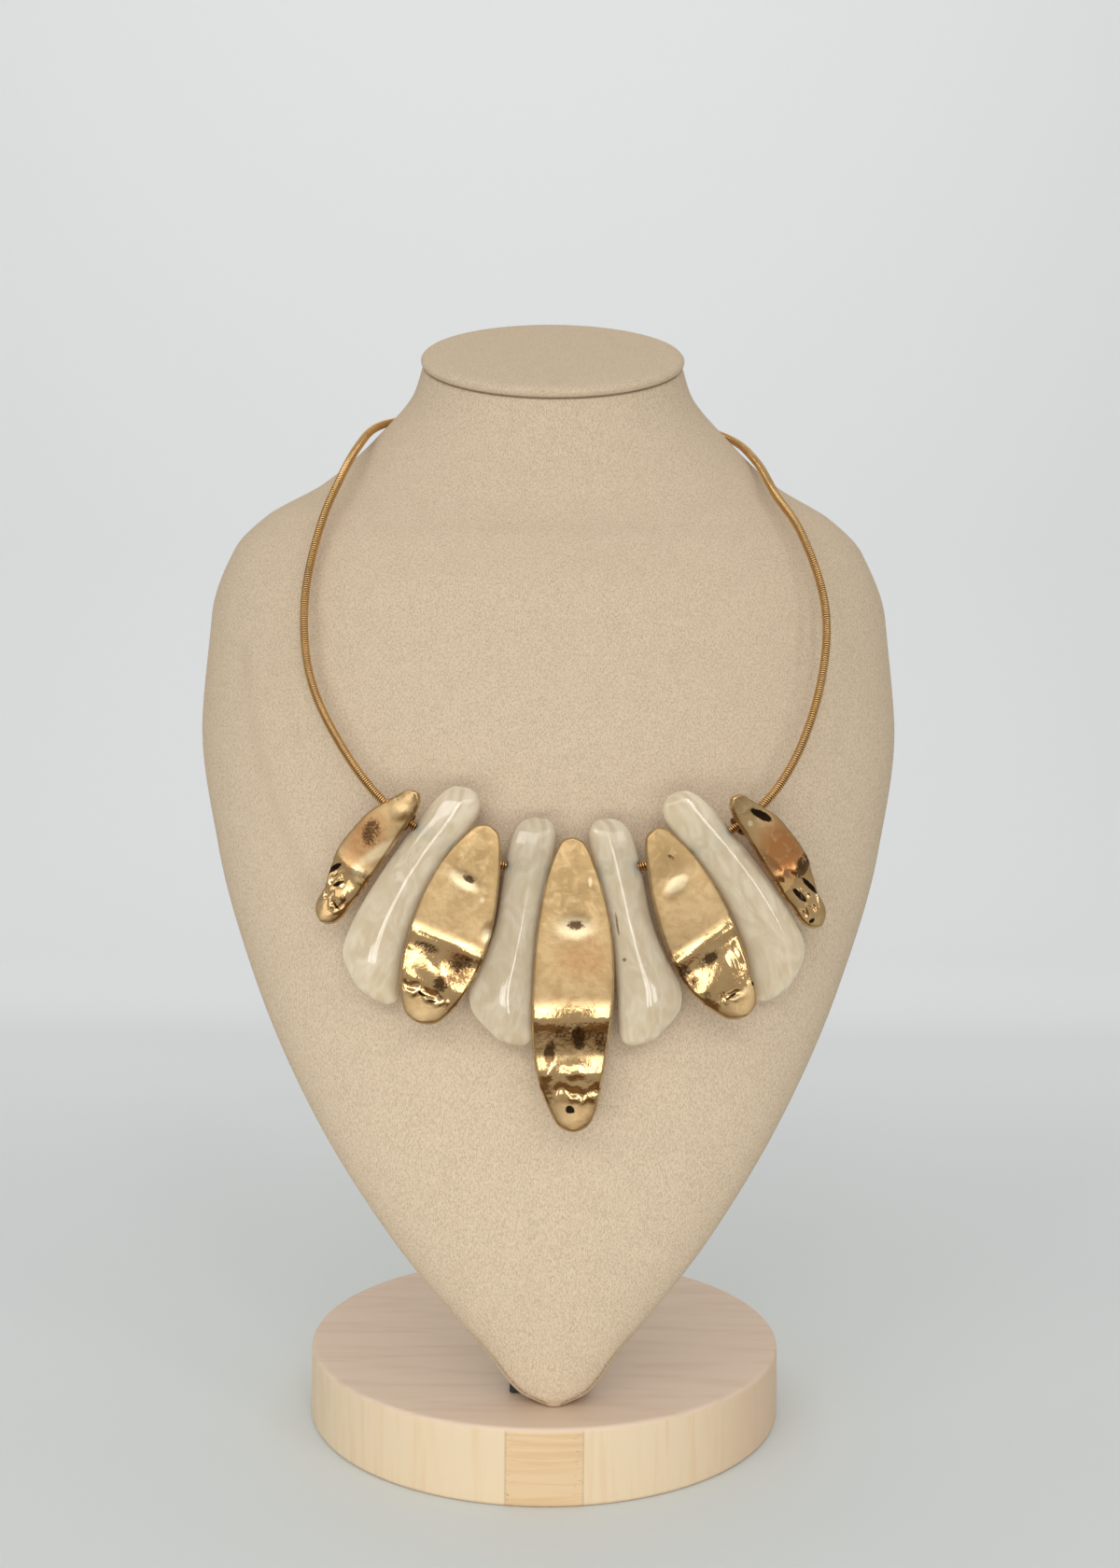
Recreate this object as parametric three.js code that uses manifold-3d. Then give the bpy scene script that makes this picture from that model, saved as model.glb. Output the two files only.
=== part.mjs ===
// A collar necklace of hammered gilt plates and cream tusk stones on a suede neck bust with a wooden
// foot. Millimetres, +Z up, the front faces -Y, and the origin is under the middle of the wooden disc.
import * as THREE from "three";
import { mergeVertices } from "three/addons/utils/BufferGeometryUtils.js";
import Module from "manifold-3d";

const wasm = await Module();
wasm.setup();

// Fit between neighbouring pieces
const GAP = 0.3;

// Wooden disc
const DISC_DIAMETER = 130;
const DISC_HEIGHT = 19;
const DISC_EDGE_RADIUS = 1.2;
const DISC_EDGE_STEPS = 3;
const DISC_SEGMENTS = 64;

// Padded bust, tip to neck. At height z the section is half wide on each side of its widest line, which
// lies mid behind the disc's middle and shift to its right, because the stuffed tip sits a little to one
// side. It reaches front ahead of that line and back behind it, leans forward by lean degrees, and its
// rear is squarer the larger flat is.
const BUST_SECTIONS = [
  { z: 19.4, half: 3.5, mid: -49.5, shift: 2.8, front: 3.2, back: 3.5, lean: 0, flat: 2.2 },
  { z: 22, half: 9, mid: -49, shift: 2.7, front: 5, back: 5.5, lean: 0, flat: 2.6 },
  { z: 31, half: 16.9, mid: -47, shift: 2.3, front: 7.6, back: 8, lean: 0, flat: 3 },
  { z: 57, half: 40, mid: -41, shift: 1.4, front: 15, back: 14, lean: 0, flat: 3.2 },
  { z: 88, half: 62, mid: -30, shift: 0.6, front: 25, back: 17.3, lean: 0, flat: 3.2 },
  { z: 120, half: 79.2, mid: -16, shift: 0.2, front: 35, back: 18, lean: 0, flat: 3.2 },
  { z: 155, half: 92.4, mid: -2, shift: 0, front: 42, back: 20, lean: 0, flat: 3.2 },
  { z: 193, half: 100.1, mid: 12, shift: -0.4, front: 47, back: 23.6, lean: 0, flat: 3.2 },
  { z: 222, half: 98.7, mid: 17, shift: -0.6, front: 44, back: 27, lean: 0, flat: 3 },
  { z: 242, half: 92, mid: 17, shift: -0.8, front: 37.5, back: 29.5, lean: 4, flat: 2.6 },
  { z: 252, half: 82.8, mid: 17, shift: -0.8, front: 34, back: 30, lean: 10, flat: 2.3 },
  { z: 262, half: 66.2, mid: 17, shift: -0.4, front: 32, back: 30, lean: 16, flat: 2.1 },
  { z: 276, half: 51, mid: 17, shift: 0, front: 31.5, back: 30.5, lean: 24, flat: 2 },
  { z: 288, half: 41, mid: 17, shift: 0, front: 32.8, back: 32, lean: 29.5, flat: 2 },
  { z: 297, half: 38, mid: 16.5, shift: 0, front: 33.5, back: 33.5, lean: 31.5, flat: 2 },
];
const BUST_RINGS = 36;
const BUST_SIDES = 44;

// Padded cap that closes the neck, in the plane of the bust's last section
const CAP_HALF_WIDTH = 38.6;
const CAP_HALF_DEPTH = 34.2;
const CAP_SEGMENTS = 44;
const CAP_PROFILE = [
  { radius: 0, rise: 0 },
  { radius: 0.97, rise: 0 },
  { radius: 0.995, rise: 0.6 },
  { radius: 1, rise: 1.5 },
  { radius: 0.985, rise: 2.4 },
  { radius: 0.95, rise: 3 },
  { radius: 0.8, rise: 3.5 },
  { radius: 0.45, rise: 3.9 },
  { radius: 0, rise: 4 },
];

// Black steel angle behind the tip, from its foot on the disc up the bust's slanted back
const BRACKET_WIDTH = 20;
const BRACKET_SHIFT = 1.5;
const BRACKET_THICKNESS = 2;
const BRACKET_FOOT_LENGTH = 34;
const BRACKET_TOP = 74;

// Wound collar wire, from one side of the clasp round the wearer's right, the front and back to the clasp
const WIRE_DIAMETER = 2.3;
const WIRE_SIDES = 8;
const WIRE_STEPS = 80;
const WIRE_ROUTE = [
  { x: -3.6, y: 49.6, z: 292 },
  { x: -24, y: 47, z: 290.5 },
  { x: -43, y: 35.8, z: 285.5 },
  { x: -52, y: 18, z: 278.5 },
  { x: -55.5, y: 4, z: 269.5 },
  { x: -58.8, y: -5.5, z: 259 },
  { x: -62.9, y: -13, z: 245 },
  { x: -66, y: -20.5, z: 223.5 },
  { x: -63.6, y: -27.5, z: 202.8 },
  { x: -54.8, y: -35.7, z: 185 },
  { x: -40.5, y: -43.5, z: 167.8 },
  { x: -19.9, y: -48.5, z: 155.8 },
  { x: 7, y: -50, z: 151.2 },
  { x: 29.2, y: -48.6, z: 154.6 },
  { x: 43, y: -46, z: 160.3 },
  { x: 54.6, y: -42, z: 168.4 },
  { x: 63.6, y: -37.2, z: 180.2 },
  { x: 71.8, y: -29, z: 201.3 },
  { x: 74.1, y: -21, z: 222 },
  { x: 68.7, y: -12.5, z: 243.5 },
  { x: 63, y: -4.5, z: 255.1 },
  { x: 59.3, y: 10, z: 267.5 },
  { x: 53, y: 30, z: 279 },
  { x: 33, y: 45.5, z: 288.5 },
  { x: 9.6, y: 49.6, z: 292 },
];
const CLASP_DIAMETER = 5;
const CLASP_LENGTH = 12.2;
const CLASP_SIDES = 12;

// Gilt plates. Each outline hangs from the wire: along runs down from the wire, outer and inner are the
// widths away from and towards the middle of the collar, and a tip shifts towards the middle by shift.
const PLATE_THICKNESS = 1.4;
const PLATE_STAND = 5;
const PLATE_STATIONS = 24;
const PLATE_COLUMNS = 9;
const CENTRE_PLATE = {
  top: { along: -8.6, shift: 0 },
  rows: [
    { along: -5.5, outer: 4.2, inner: 3.6 },
    { along: 1, outer: 6.6, inner: 6 },
    { along: 10, outer: 9, inner: 7.9 },
    { along: 20, outer: 10.2, inner: 9.2 },
    { along: 31, outer: 10.1, inner: 9.8 },
    { along: 42, outer: 8.6, inner: 9.8 },
    { along: 51, outer: 7.1, inner: 8.3 },
    { along: 58.5, outer: 5.2, inner: 5.2 },
  ],
  bottom: { along: 62.6, shift: 0 },
};
const MID_PLATE = {
  top: { along: -8.3, shift: 0.6 },
  rows: [
    { along: -5, outer: 3.8, inner: 4.9 },
    { along: 1, outer: 6.8, inner: 6.9 },
    { along: 8, outer: 8.7, inner: 8.7 },
    { along: 16, outer: 9.7, inner: 10 },
    { along: 25, outer: 9.4, inner: 10.2 },
    { along: 33, outer: 8.1, inner: 8.9 },
    { along: 39.5, outer: 5.6, inner: 5.7 },
  ],
  bottom: { along: 42.9, shift: 0 },
};
const SLIM_SHARE = 0.85;
const SLIM_MID_PLATE = {
  ...MID_PLATE,
  rows: MID_PLATE.rows.map((row) => ({ ...row, outer: SLIM_SHARE * row.outer })),
};
const OUTER_PLATE = {
  top: { along: -7.6, shift: 3.1 },
  rows: [
    { along: -4, outer: 1.3, inner: 5.4 },
    { along: 3, outer: 5.4, inner: 5 },
    { along: 9, outer: 7, inner: 4.7 },
    { along: 15, outer: 7.8, inner: 4.3 },
    { along: 20.5, outer: 6.9, inner: 3.8 },
    { along: 25.5, outer: 5.3, inner: 3.3 },
    { along: 30, outer: 5, inner: 2.8 },
  ],
  bottom: { along: 33.2, shift: -1 },
};

// Height of a plate's face along its length, as a share of the length: a crease, a dish and a curled lip
const PLATE_RELIEF = [
  { share: 0, lift: -0.2 },
  { share: 0.14, lift: 0 },
  { share: 0.45, lift: 0.2 },
  { share: 0.59, lift: 1 },
  { share: 0.74, lift: -0.7 },
  { share: 0.92, lift: 1.1 },
  { share: 1, lift: 0.8 },
];
const PLATE_CROWN = 0.5;
const DIMPLE = { share: 0.3, across: 0.1, length: 0.035, width: 0.3, depth: 0.7 };

// Bail soldered behind each plate
const BAIL_OUTER_RADIUS = 2.6;
const BAIL_BORE_RADIUS = 1.6;
const BAIL_LENGTH = 6.5;
const BAIL_SEGMENTS = 10;

// Cream tusk stones, drilled for the wire
const STONE_HALF_THICKNESS = 4.4;
const STONE_END_ROUNDING = 0.38;
const STONE_SQUARENESS = 0.86;
const STONE_STATIONS = 20;
const STONE_SIDES = 20;
const STONE_BORE_RADIUS = 1.6;
const STONE_BORE_REACH = 16;
const STONE_BORE_STEPS = 8;
const STONE_BORE_SIDES = 10;
const INNER_STONE = {
  top: { along: -13.6, shift: 0.6 },
  rows: [
    { along: -10.5, outer: 5.4, inner: 4.2 },
    { along: -3, outer: 6.8, inner: 4.9 },
    { along: 5, outer: 6.8, inner: 4.6 },
    { along: 14, outer: 6.7, inner: 4.4 },
    { along: 23, outer: 8.2, inner: 4.9 },
    { along: 31, outer: 10.4, inner: 5.8 },
    { along: 36.5, outer: 9, inner: 6.8 },
    { along: 41, outer: 3.6, inner: 7 },
  ],
  bottom: { along: 43, shift: 3 },
};
const OUTER_STONE = {
  top: { along: -15.4, shift: 1.6 },
  rows: [
    { along: -12, outer: 4.2, inner: 6 },
    { along: -6, outer: 6.5, inner: 6.1 },
    { along: 4, outer: 8.8, inner: 3.7 },
    { along: 16, outer: 11, inner: 2.5 },
    { along: 28, outer: 12.1, inner: 3.6 },
    { along: 35.5, outer: 11, inner: 5.6 },
    { along: 40.5, outer: 5.4, inner: 6.6 },
  ],
  bottom: { along: 42.5, shift: 3 },
};

// Where each piece hangs: cross is its place along X on the wire, footX and footZ say where its lower end
// lies on the chest, and reach is how far that end's middle stands off the suede.
const LEFT = 1;
const RIGHT = -1;
const PLATES = [
  { name: "gold_centre", outline: CENTRE_PLATE, cross: 6, footX: 6.9, footZ: 88.9, reach: 8.5 },
  { name: "gold_mid_left", outline: MID_PLATE, cross: -17.1, footX: -30.9, footZ: 115.6, reach: 9.2 },
  { name: "gold_mid_right", outline: SLIM_MID_PLATE, cross: 29.6, footX: 49, footZ: 114.2, reach: 10 },
  { name: "gold_outer_left", outline: OUTER_PLATE, cross: -37.6, footX: -54.2, footZ: 140.3, reach: 8 },
  { name: "gold_outer_right", outline: OUTER_PLATE, cross: 50.6, footX: 68.8, footZ: 136.8, reach: 9.8 },
];
const STONES = [
  { name: "stone_inner_left", outline: INNER_STONE, cross: -3.7, footX: -10.1, footZ: 111.5, reach: 5.2 },
  { name: "stone_inner_right", outline: INNER_STONE, cross: 16.8, footX: 25.9, footZ: 109.9, reach: 5.2 },
  { name: "stone_outer_left", outline: OUTER_STONE, cross: -27.1, footX: -43, footZ: 122.1, reach: 5.2 },
  { name: "stone_outer_right", outline: OUTER_STONE, cross: 39.7, footX: 60.6, footZ: 119.4, reach: 5.2 },
];

// A smooth curve through one column of a table that overshoots no row.
function columnCurve(rows, key, column) {
  const xs = rows.map((row) => row[key]);
  const ys = rows.map((row) => row[column]);
  const secants = xs.slice(1).map((x, i) => (ys[i + 1] - ys[i]) / (x - xs[i]));
  const slopes = xs.map((_, i) => {
    const before = secants[i - 1] ?? secants[i];
    const after = secants[i] ?? secants[i - 1];
    return before * after <= 0 ? 0 : (2 * before * after) / (before + after);
  });
  return (x) => {
    let i = 0;
    while (i < xs.length - 2 && x > xs[i + 1]) i += 1;
    const span = xs[i + 1] - xs[i];
    const t = THREE.MathUtils.clamp((x - xs[i]) / span, 0, 1);
    const u = 1 - t;
    const ends = ys[i] * u * u * (1 + 2 * t) + ys[i + 1] * t * t * (1 + 2 * u);
    return ends + span * t * u * (slopes[i] * u - slopes[i + 1] * t);
  };
}

// A closed surface over a row of equal rings, with a fan of triangles to a pole at each end.
function loft(rings, startPole, endPole) {
  const count = rings[0].length;
  const points = [...rings.flat(), startPole, endPole];
  const start = points.length - 2;
  const end = points.length - 1;
  const last = (rings.length - 1) * count;
  const faces = [];
  for (let j = 0; j < count; j += 1) {
    const next = (j + 1) % count;
    faces.push(start, next, j);
    faces.push(end, last + j, last + next);
    for (let i = 0; i < rings.length - 1; i += 1) {
      const near = i * count;
      const far = near + count;
      faces.push(near + j, near + next, far + next);
      faces.push(near + j, far + next, far + j);
    }
  }
  return new THREE.BufferGeometry().setFromPoints(points).setIndex(faces);
}

// A power that keeps the sign of its base.
function signedPower(value, power) {
  return Math.sign(value) * Math.abs(value) ** power;
}

// Solids for joining and cutting
const MERGE_DISTANCE = 1e-4;

function toSolid(geometry) {
  const bare = new THREE.BufferGeometry();
  bare.setAttribute("position", geometry.getAttribute("position"));
  bare.setIndex(geometry.getIndex());
  const merged = mergeVertices(bare, MERGE_DISTANCE);
  return new wasm.Manifold(
    new wasm.Mesh({
      numProp: 3,
      vertProperties: merged.getAttribute("position").array,
      triVerts: new Uint32Array(merged.getIndex().array),
    }),
  );
}

function toGeometry(solid) {
  const mesh = solid.getMesh();
  const geometry = new THREE.BufferGeometry();
  geometry.setAttribute("position", new THREE.BufferAttribute(mesh.vertProperties, mesh.numProp));
  geometry.setIndex(new THREE.BufferAttribute(mesh.triVerts, 1));
  return geometry;
}

// A regular polygon shape for round sections.
function roundShape(radius, sides) {
  const corners = Array.from({ length: sides }, (_, i) => {
    const angle = (2 * Math.PI * i) / sides;
    return new THREE.Vector2(radius * Math.cos(angle), radius * Math.sin(angle));
  });
  return new THREE.Shape(corners);
}

function tube(path, radius, sides, steps) {
  return new THREE.ExtrudeGeometry(roundShape(radius, sides), { steps, extrudePath: path });
}

// Bust
const bustColumn = Object.fromEntries(
  ["half", "mid", "shift", "front", "back", "lean", "flat"].map((name) => [
    name,
    columnCurve(BUST_SECTIONS, "z", name),
  ]),
);
const BUST_BOTTOM = BUST_SECTIONS[0].z;
const BUST_TOP = BUST_SECTIONS[BUST_SECTIONS.length - 1].z;

function bustRing(z) {
  const lean = THREE.MathUtils.degToRad(bustColumn.lean(z));
  const rearPower = 2 / bustColumn.flat(z);
  return Array.from({ length: BUST_SIDES }, (_, j) => {
    const angle = (2 * Math.PI * j) / BUST_SIDES;
    const across = Math.cos(angle);
    const depth = Math.sin(angle);
    const rear = depth > 0;
    const spread = rear ? signedPower(across, rearPower) : across;
    const reach = rear ? bustColumn.back(z) * depth ** rearPower : bustColumn.front(z) * depth;
    return new THREE.Vector3(
      bustColumn.shift(z) + bustColumn.half(z) * spread,
      bustColumn.mid(z) + reach * Math.cos(lean),
      z + reach * Math.sin(lean),
    );
  });
}

// Heights of the bust's rings: even along the table's rows, so that short rows get as many as long ones.
function bustHeights() {
  const rows = BUST_SECTIONS.map(({ z }, row) => ({ row, z }));
  const heightAt = columnCurve(rows, "row", "z");
  const rowsPerRing = (rows.length - 1) / (BUST_RINGS - 1);
  return Array.from({ length: BUST_RINGS }, (_, i) => heightAt(i * rowsPerRing));
}

function bustGeometry() {
  const middle = (z) => new THREE.Vector3(bustColumn.shift(z), bustColumn.mid(z), z);
  return loft(bustHeights().map(bustRing), middle(BUST_BOTTOM), middle(BUST_TOP));
}

// Depth of the chest's front at a place on it, below the leaning sections of the neck.
function chestDepth(x, z) {
  const share = (x - bustColumn.shift(z)) / bustColumn.half(z);
  return bustColumn.mid(z) - bustColumn.front(z) * Math.sqrt(Math.max(0, 1 - share * share));
}

const SLOPE_STEP = 0.5;

function chestNormal(x, z) {
  const step = SLOPE_STEP;
  const slopeX = (chestDepth(x + step, z) - chestDepth(x - step, z)) / (2 * step);
  const slopeZ = (chestDepth(x, z + step) - chestDepth(x, z - step)) / (2 * step);
  return new THREE.Vector3(slopeX, -1, slopeZ).normalize();
}

// Collar wire
const wirePath = new THREE.CatmullRomCurve3(WIRE_ROUTE.map(({ x, y, z }) => new THREE.Vector3(x, y, z)));
const FRONT_ARC_TOP = 200;
const WIRE_SAMPLES = 2000;

// Share of the wire's length at which its front arc passes a place along X.
function wireShareAt(x) {
  let best = { miss: Infinity, share: 0 };
  for (let i = 0; i <= WIRE_SAMPLES; i += 1) {
    const share = i / WIRE_SAMPLES;
    const point = wirePath.getPointAt(share);
    const miss = Math.abs(point.x - x);
    if (point.z < FRONT_ARC_TOP && miss < best.miss) best = { miss, share };
  }
  return best.share;
}

// Frame of a hanging piece on the wire: x towards the viewer's left, y down the piece, z off the chest.
function hangingFrame({ cross, footX, footZ, reach }, stand) {
  const hook = wirePath.getPointAt(wireShareAt(cross));
  const out = chestNormal((hook.x + footX) / 2, (hook.z + footZ) / 2);
  const lifted = hook.clone().addScaledVector(out, stand);
  const toe = new THREE.Vector3(footX, chestDepth(footX, footZ) - reach, footZ);
  const down = toe.sub(lifted).normalize();
  out.addScaledVector(down, -out.dot(down)).normalize();
  const across = new THREE.Vector3().crossVectors(down, out);
  return new THREE.Matrix4().makeBasis(across, down, out).setPosition(lifted);
}

// A piece's outer edge faces the side of the collar on which it crosses the wire.
function sideOf({ cross }) {
  return cross < 0 ? LEFT : RIGHT;
}

// Edges of a hanging piece at a share t of its outline, from its top tip to its bottom tip.
function outlineEdges({ top, rows, bottom }, side) {
  const point = (x, along) => new THREE.Vector3(x, along, 0);
  const outerEdge = rows.map((row) => point(side * row.outer, row.along));
  const innerEdge = rows.map((row) => point(-side * row.inner, row.along));
  const [first, second] = side === LEFT ? [outerEdge, innerEdge] : [innerEdge, outerEdge];
  const topTip = point(-side * top.shift, top.along);
  const bottomTip = point(-side * bottom.shift, bottom.along);
  const curve = new THREE.CatmullRomCurve3([topTip, ...first, bottomTip, ...second.reverse()], true);
  return (t) => ({ high: curve.getPoint(t / 2), low: curve.getPoint(1 - t / 2) });
}

// Stations along a piece, closer together at its rounded ends.
const END_MARGIN = 0.6;

function stations(count) {
  return Array.from({ length: count }, (_, i) => {
    const even = (i + END_MARGIN) / (count - 1 + 2 * END_MARGIN);
    return even - Math.sin(2 * Math.PI * even) / (4 * Math.PI);
  });
}

// Height of a plate's face at a share of its length and a place across it from -1 to 1.
const plateLift = columnCurve(PLATE_RELIEF, "share", "lift");
function plateHeight(share, across) {
  const dimpleAlong = (share - DIMPLE.share) / DIMPLE.length;
  const dimpleAcross = (across - DIMPLE.across) / DIMPLE.width;
  const dimple = DIMPLE.depth * Math.exp(-dimpleAlong * dimpleAlong - dimpleAcross * dimpleAcross);
  return plateLift(share) - PLATE_CROWN * across * across - dimple;
}

function plateGeometry(outline, side) {
  const edges = outlineEdges(outline, side);
  const length = outline.bottom.along - outline.top.along;
  const shareAt = (along) => (along - outline.top.along) / length;
  const face = ({ high, low }, across, level) => {
    const spot = low.clone().lerp(high, (across + 1) / 2);
    spot.z = plateHeight(shareAt(spot.y), side * across) + level;
    return spot;
  };
  const columnStep = 2 / (PLATE_COLUMNS - 1);
  const acrossRow = Array.from({ length: PLATE_COLUMNS }, (_, i) => -1 + i * columnStep);
  const rings = stations(PLATE_STATIONS).map((t) => {
    const edge = edges(t);
    const front = acrossRow.map((across) => face(edge, across, PLATE_THICKNESS / 2));
    const back = acrossRow.map((across) => face(edge, across, -PLATE_THICKNESS / 2));
    return [...front, ...back.reverse()];
  });
  return loft(rings, face(edges(0), 0, 0), face(edges(1), 0, 0));
}

// A tab behind the plate with a round eye for the wire, along the wire where it passes.
function bailGeometry(cross, frame) {
  const share = wireShareAt(cross);
  const alongWire = wirePath.getTangentAt(share);
  const out = new THREE.Vector3().setFromMatrixColumn(frame, 2);
  out.addScaledVector(alongWire, -out.dot(alongWire)).normalize();
  const sideways = new THREE.Vector3().crossVectors(out, alongWire);
  const tab = new THREE.Shape();
  tab.moveTo(BAIL_OUTER_RADIUS, 0);
  tab.lineTo(BAIL_OUTER_RADIUS, PLATE_STAND);
  tab.lineTo(-BAIL_OUTER_RADIUS, PLATE_STAND);
  tab.lineTo(-BAIL_OUTER_RADIUS, 0);
  tab.absarc(0, 0, BAIL_OUTER_RADIUS, Math.PI, 2 * Math.PI, false);
  const eye = new THREE.Path();
  eye.absarc(0, 0, BAIL_BORE_RADIUS, 0, 2 * Math.PI, true);
  tab.holes.push(eye);
  const geometry = new THREE.ExtrudeGeometry(tab, {
    depth: BAIL_LENGTH,
    bevelEnabled: false,
    curveSegments: BAIL_SEGMENTS,
  });
  geometry.translate(0, 0, -BAIL_LENGTH / 2);
  const place = new THREE.Matrix4().makeBasis(sideways, out, alongWire);
  place.setPosition(wirePath.getPointAt(share));
  return geometry.applyMatrix4(place);
}

function hangingPlate(piece) {
  const frame = hangingFrame(piece, PLATE_STAND);
  const plate = toSolid(plateGeometry(piece.outline, sideOf(piece)).applyMatrix4(frame));
  return toGeometry(plate.add(toSolid(bailGeometry(piece.cross, frame))));
}

function stoneGeometry(outline, side) {
  const edges = outlineEdges(outline, side);
  const length = outline.bottom.along - outline.top.along;
  const rings = stations(STONE_STATIONS).map((t) => {
    const { high, low } = edges(t);
    const middle = high.clone().lerp(low, 0.5);
    const share = (middle.y - outline.top.along) / length;
    const thickness = STONE_HALF_THICKNESS * Math.sin(Math.PI * share) ** STONE_END_ROUNDING;
    return Array.from({ length: STONE_SIDES }, (_, j) => {
      const angle = (2 * Math.PI * j) / STONE_SIDES;
      const across = signedPower(Math.cos(angle), STONE_SQUARENESS);
      const spot = low.clone().lerp(high, (1 - across) / 2);
      spot.z = thickness * signedPower(Math.sin(angle), STONE_SQUARENESS);
      return spot;
    });
  });
  return loft(rings, edges(0).high, edges(1).high);
}

// The stretch of wire that passes through a stone.
function wireStretch(cross) {
  const share = wireShareAt(cross);
  const reach = STONE_BORE_REACH / wirePath.getLength();
  const points = Array.from({ length: STONE_BORE_STEPS + 1 }, (_, i) => {
    return wirePath.getPointAt(share + reach * ((2 * i) / STONE_BORE_STEPS - 1));
  });
  return new THREE.CatmullRomCurve3(points);
}

function hangingStone(piece) {
  const frame = hangingFrame(piece, 0);
  const stone = toSolid(stoneGeometry(piece.outline, sideOf(piece)).applyMatrix4(frame));
  const bore = tube(wireStretch(piece.cross), STONE_BORE_RADIUS, STONE_BORE_SIDES, STONE_BORE_STEPS);
  return toGeometry(stone.subtract(toSolid(bore)));
}

// Base
function discGeometry() {
  const radius = DISC_DIAMETER / 2;
  const corner = (height, from) =>
    Array.from({ length: DISC_EDGE_STEPS + 1 }, (_, i) => {
      const angle = from + (Math.PI / 2) * (i / DISC_EDGE_STEPS);
      return new THREE.Vector2(
        radius - DISC_EDGE_RADIUS * (1 - Math.cos(angle)),
        height + DISC_EDGE_RADIUS * Math.sin(angle),
      );
    });
  const profile = [
    new THREE.Vector2(0, 0),
    ...corner(DISC_EDGE_RADIUS, -Math.PI / 2),
    ...corner(DISC_HEIGHT - DISC_EDGE_RADIUS, 0),
    new THREE.Vector2(0, DISC_HEIGHT),
  ];
  return new THREE.LatheGeometry(profile, DISC_SEGMENTS).rotateX(Math.PI / 2);
}

function capGeometry() {
  const profile = CAP_PROFILE.map(({ radius, rise }) => new THREE.Vector2(radius * CAP_HALF_WIDTH, rise));
  const round = new THREE.LatheGeometry(profile, CAP_SEGMENTS).rotateX(Math.PI / 2);
  return round.scale(1, CAP_HALF_DEPTH / CAP_HALF_WIDTH, 1);
}

// The angle's side view: a foot on the disc and a leg that follows the bust's back a small gap behind it.
function bracketGeometry() {
  const floor = DISC_HEIGHT + GAP;
  const backAt = (z) => bustColumn.mid(z) + bustColumn.back(z);
  const lean = (backAt(BRACKET_TOP) - backAt(floor)) / (BRACKET_TOP - floor);
  const behind = bustHeights().filter((z) => z < BRACKET_TOP);
  const clear = Math.max(...behind.map((z) => backAt(z) - lean * (z - floor)));
  const front = (z) => clear + GAP + lean * (z - floor);
  const inside = floor + BRACKET_THICKNESS;
  const legDepth = BRACKET_THICKNESS * Math.hypot(1, lean);
  const outline = new THREE.Shape();
  outline.moveTo(front(floor), floor);
  outline.lineTo(front(floor) + BRACKET_FOOT_LENGTH, floor);
  outline.lineTo(front(floor) + BRACKET_FOOT_LENGTH, inside);
  outline.lineTo(front(inside) + legDepth, inside);
  outline.lineTo(front(BRACKET_TOP) + legDepth, BRACKET_TOP);
  outline.lineTo(front(BRACKET_TOP), BRACKET_TOP);
  const side = new THREE.ExtrudeGeometry(outline, { depth: BRACKET_WIDTH, bevelEnabled: false });
  side.translate(0, 0, BRACKET_SHIFT - BRACKET_WIDTH / 2);
  return side.rotateY(Math.PI / 2).rotateX(Math.PI / 2);
}

function claspGeometry() {
  return new THREE.CylinderGeometry(CLASP_DIAMETER / 2, CLASP_DIAMETER / 2, CLASP_LENGTH, CLASP_SIDES);
}

// Materials
function finish(color, roughness, metalness) {
  return () => new THREE.MeshStandardMaterial({ color, roughness, metalness });
}

const suede = finish(0xdcc7a8, 0.95, 0);
const wood = finish(0xe2c79f, 0.6, 0);
const blackSteel = finish(0x151517, 0.5, 0.6);
const gilt = finish(0xcfa566, 0.25, 1);
const creamResin = finish(0xe9e0cc, 0.12, 0);

// Assembly
const necklaceOnBust = new THREE.Group();

function place(name, geometry, material, parent = necklaceOnBust) {
  const mesh = new THREE.Mesh(geometry, material);
  mesh.name = name;
  parent.add(mesh);
  return mesh;
}

place("base_disc", discGeometry(), wood());
place("base_bracket", bracketGeometry(), blackSteel());
place("bust_form", bustGeometry(), suede());

const neckTop = new THREE.Group();
neckTop.position.set(0, bustColumn.mid(BUST_TOP), BUST_TOP);
neckTop.rotation.x = THREE.MathUtils.degToRad(bustColumn.lean(BUST_TOP));
necklaceOnBust.add(neckTop);
place("neck_cap", capGeometry(), suede(), neckTop).position.z = GAP;

place("collar_wire", tube(wirePath, WIRE_DIAMETER / 2, WIRE_SIDES, WIRE_STEPS), gilt());
const [claspStart, claspEnd] = [WIRE_ROUTE[0], WIRE_ROUTE[WIRE_ROUTE.length - 1]];
const clasp = place("collar_clasp", claspGeometry(), gilt());
clasp.position.set((claspStart.x + claspEnd.x) / 2, claspStart.y, claspStart.z);
clasp.rotation.z = Math.PI / 2;

PLATES.forEach((piece) => place(piece.name, hangingPlate(piece), gilt()));
STONES.forEach((piece) => place(piece.name, hangingStone(piece), creamResin()));

export default necklaceOnBust;
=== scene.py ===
"""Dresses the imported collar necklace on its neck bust: gilt plates, cream stones, suede and wood."""

import logging
import math
from collections.abc import Sequence
from dataclasses import dataclass, field
from enum import Enum, IntEnum

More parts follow.
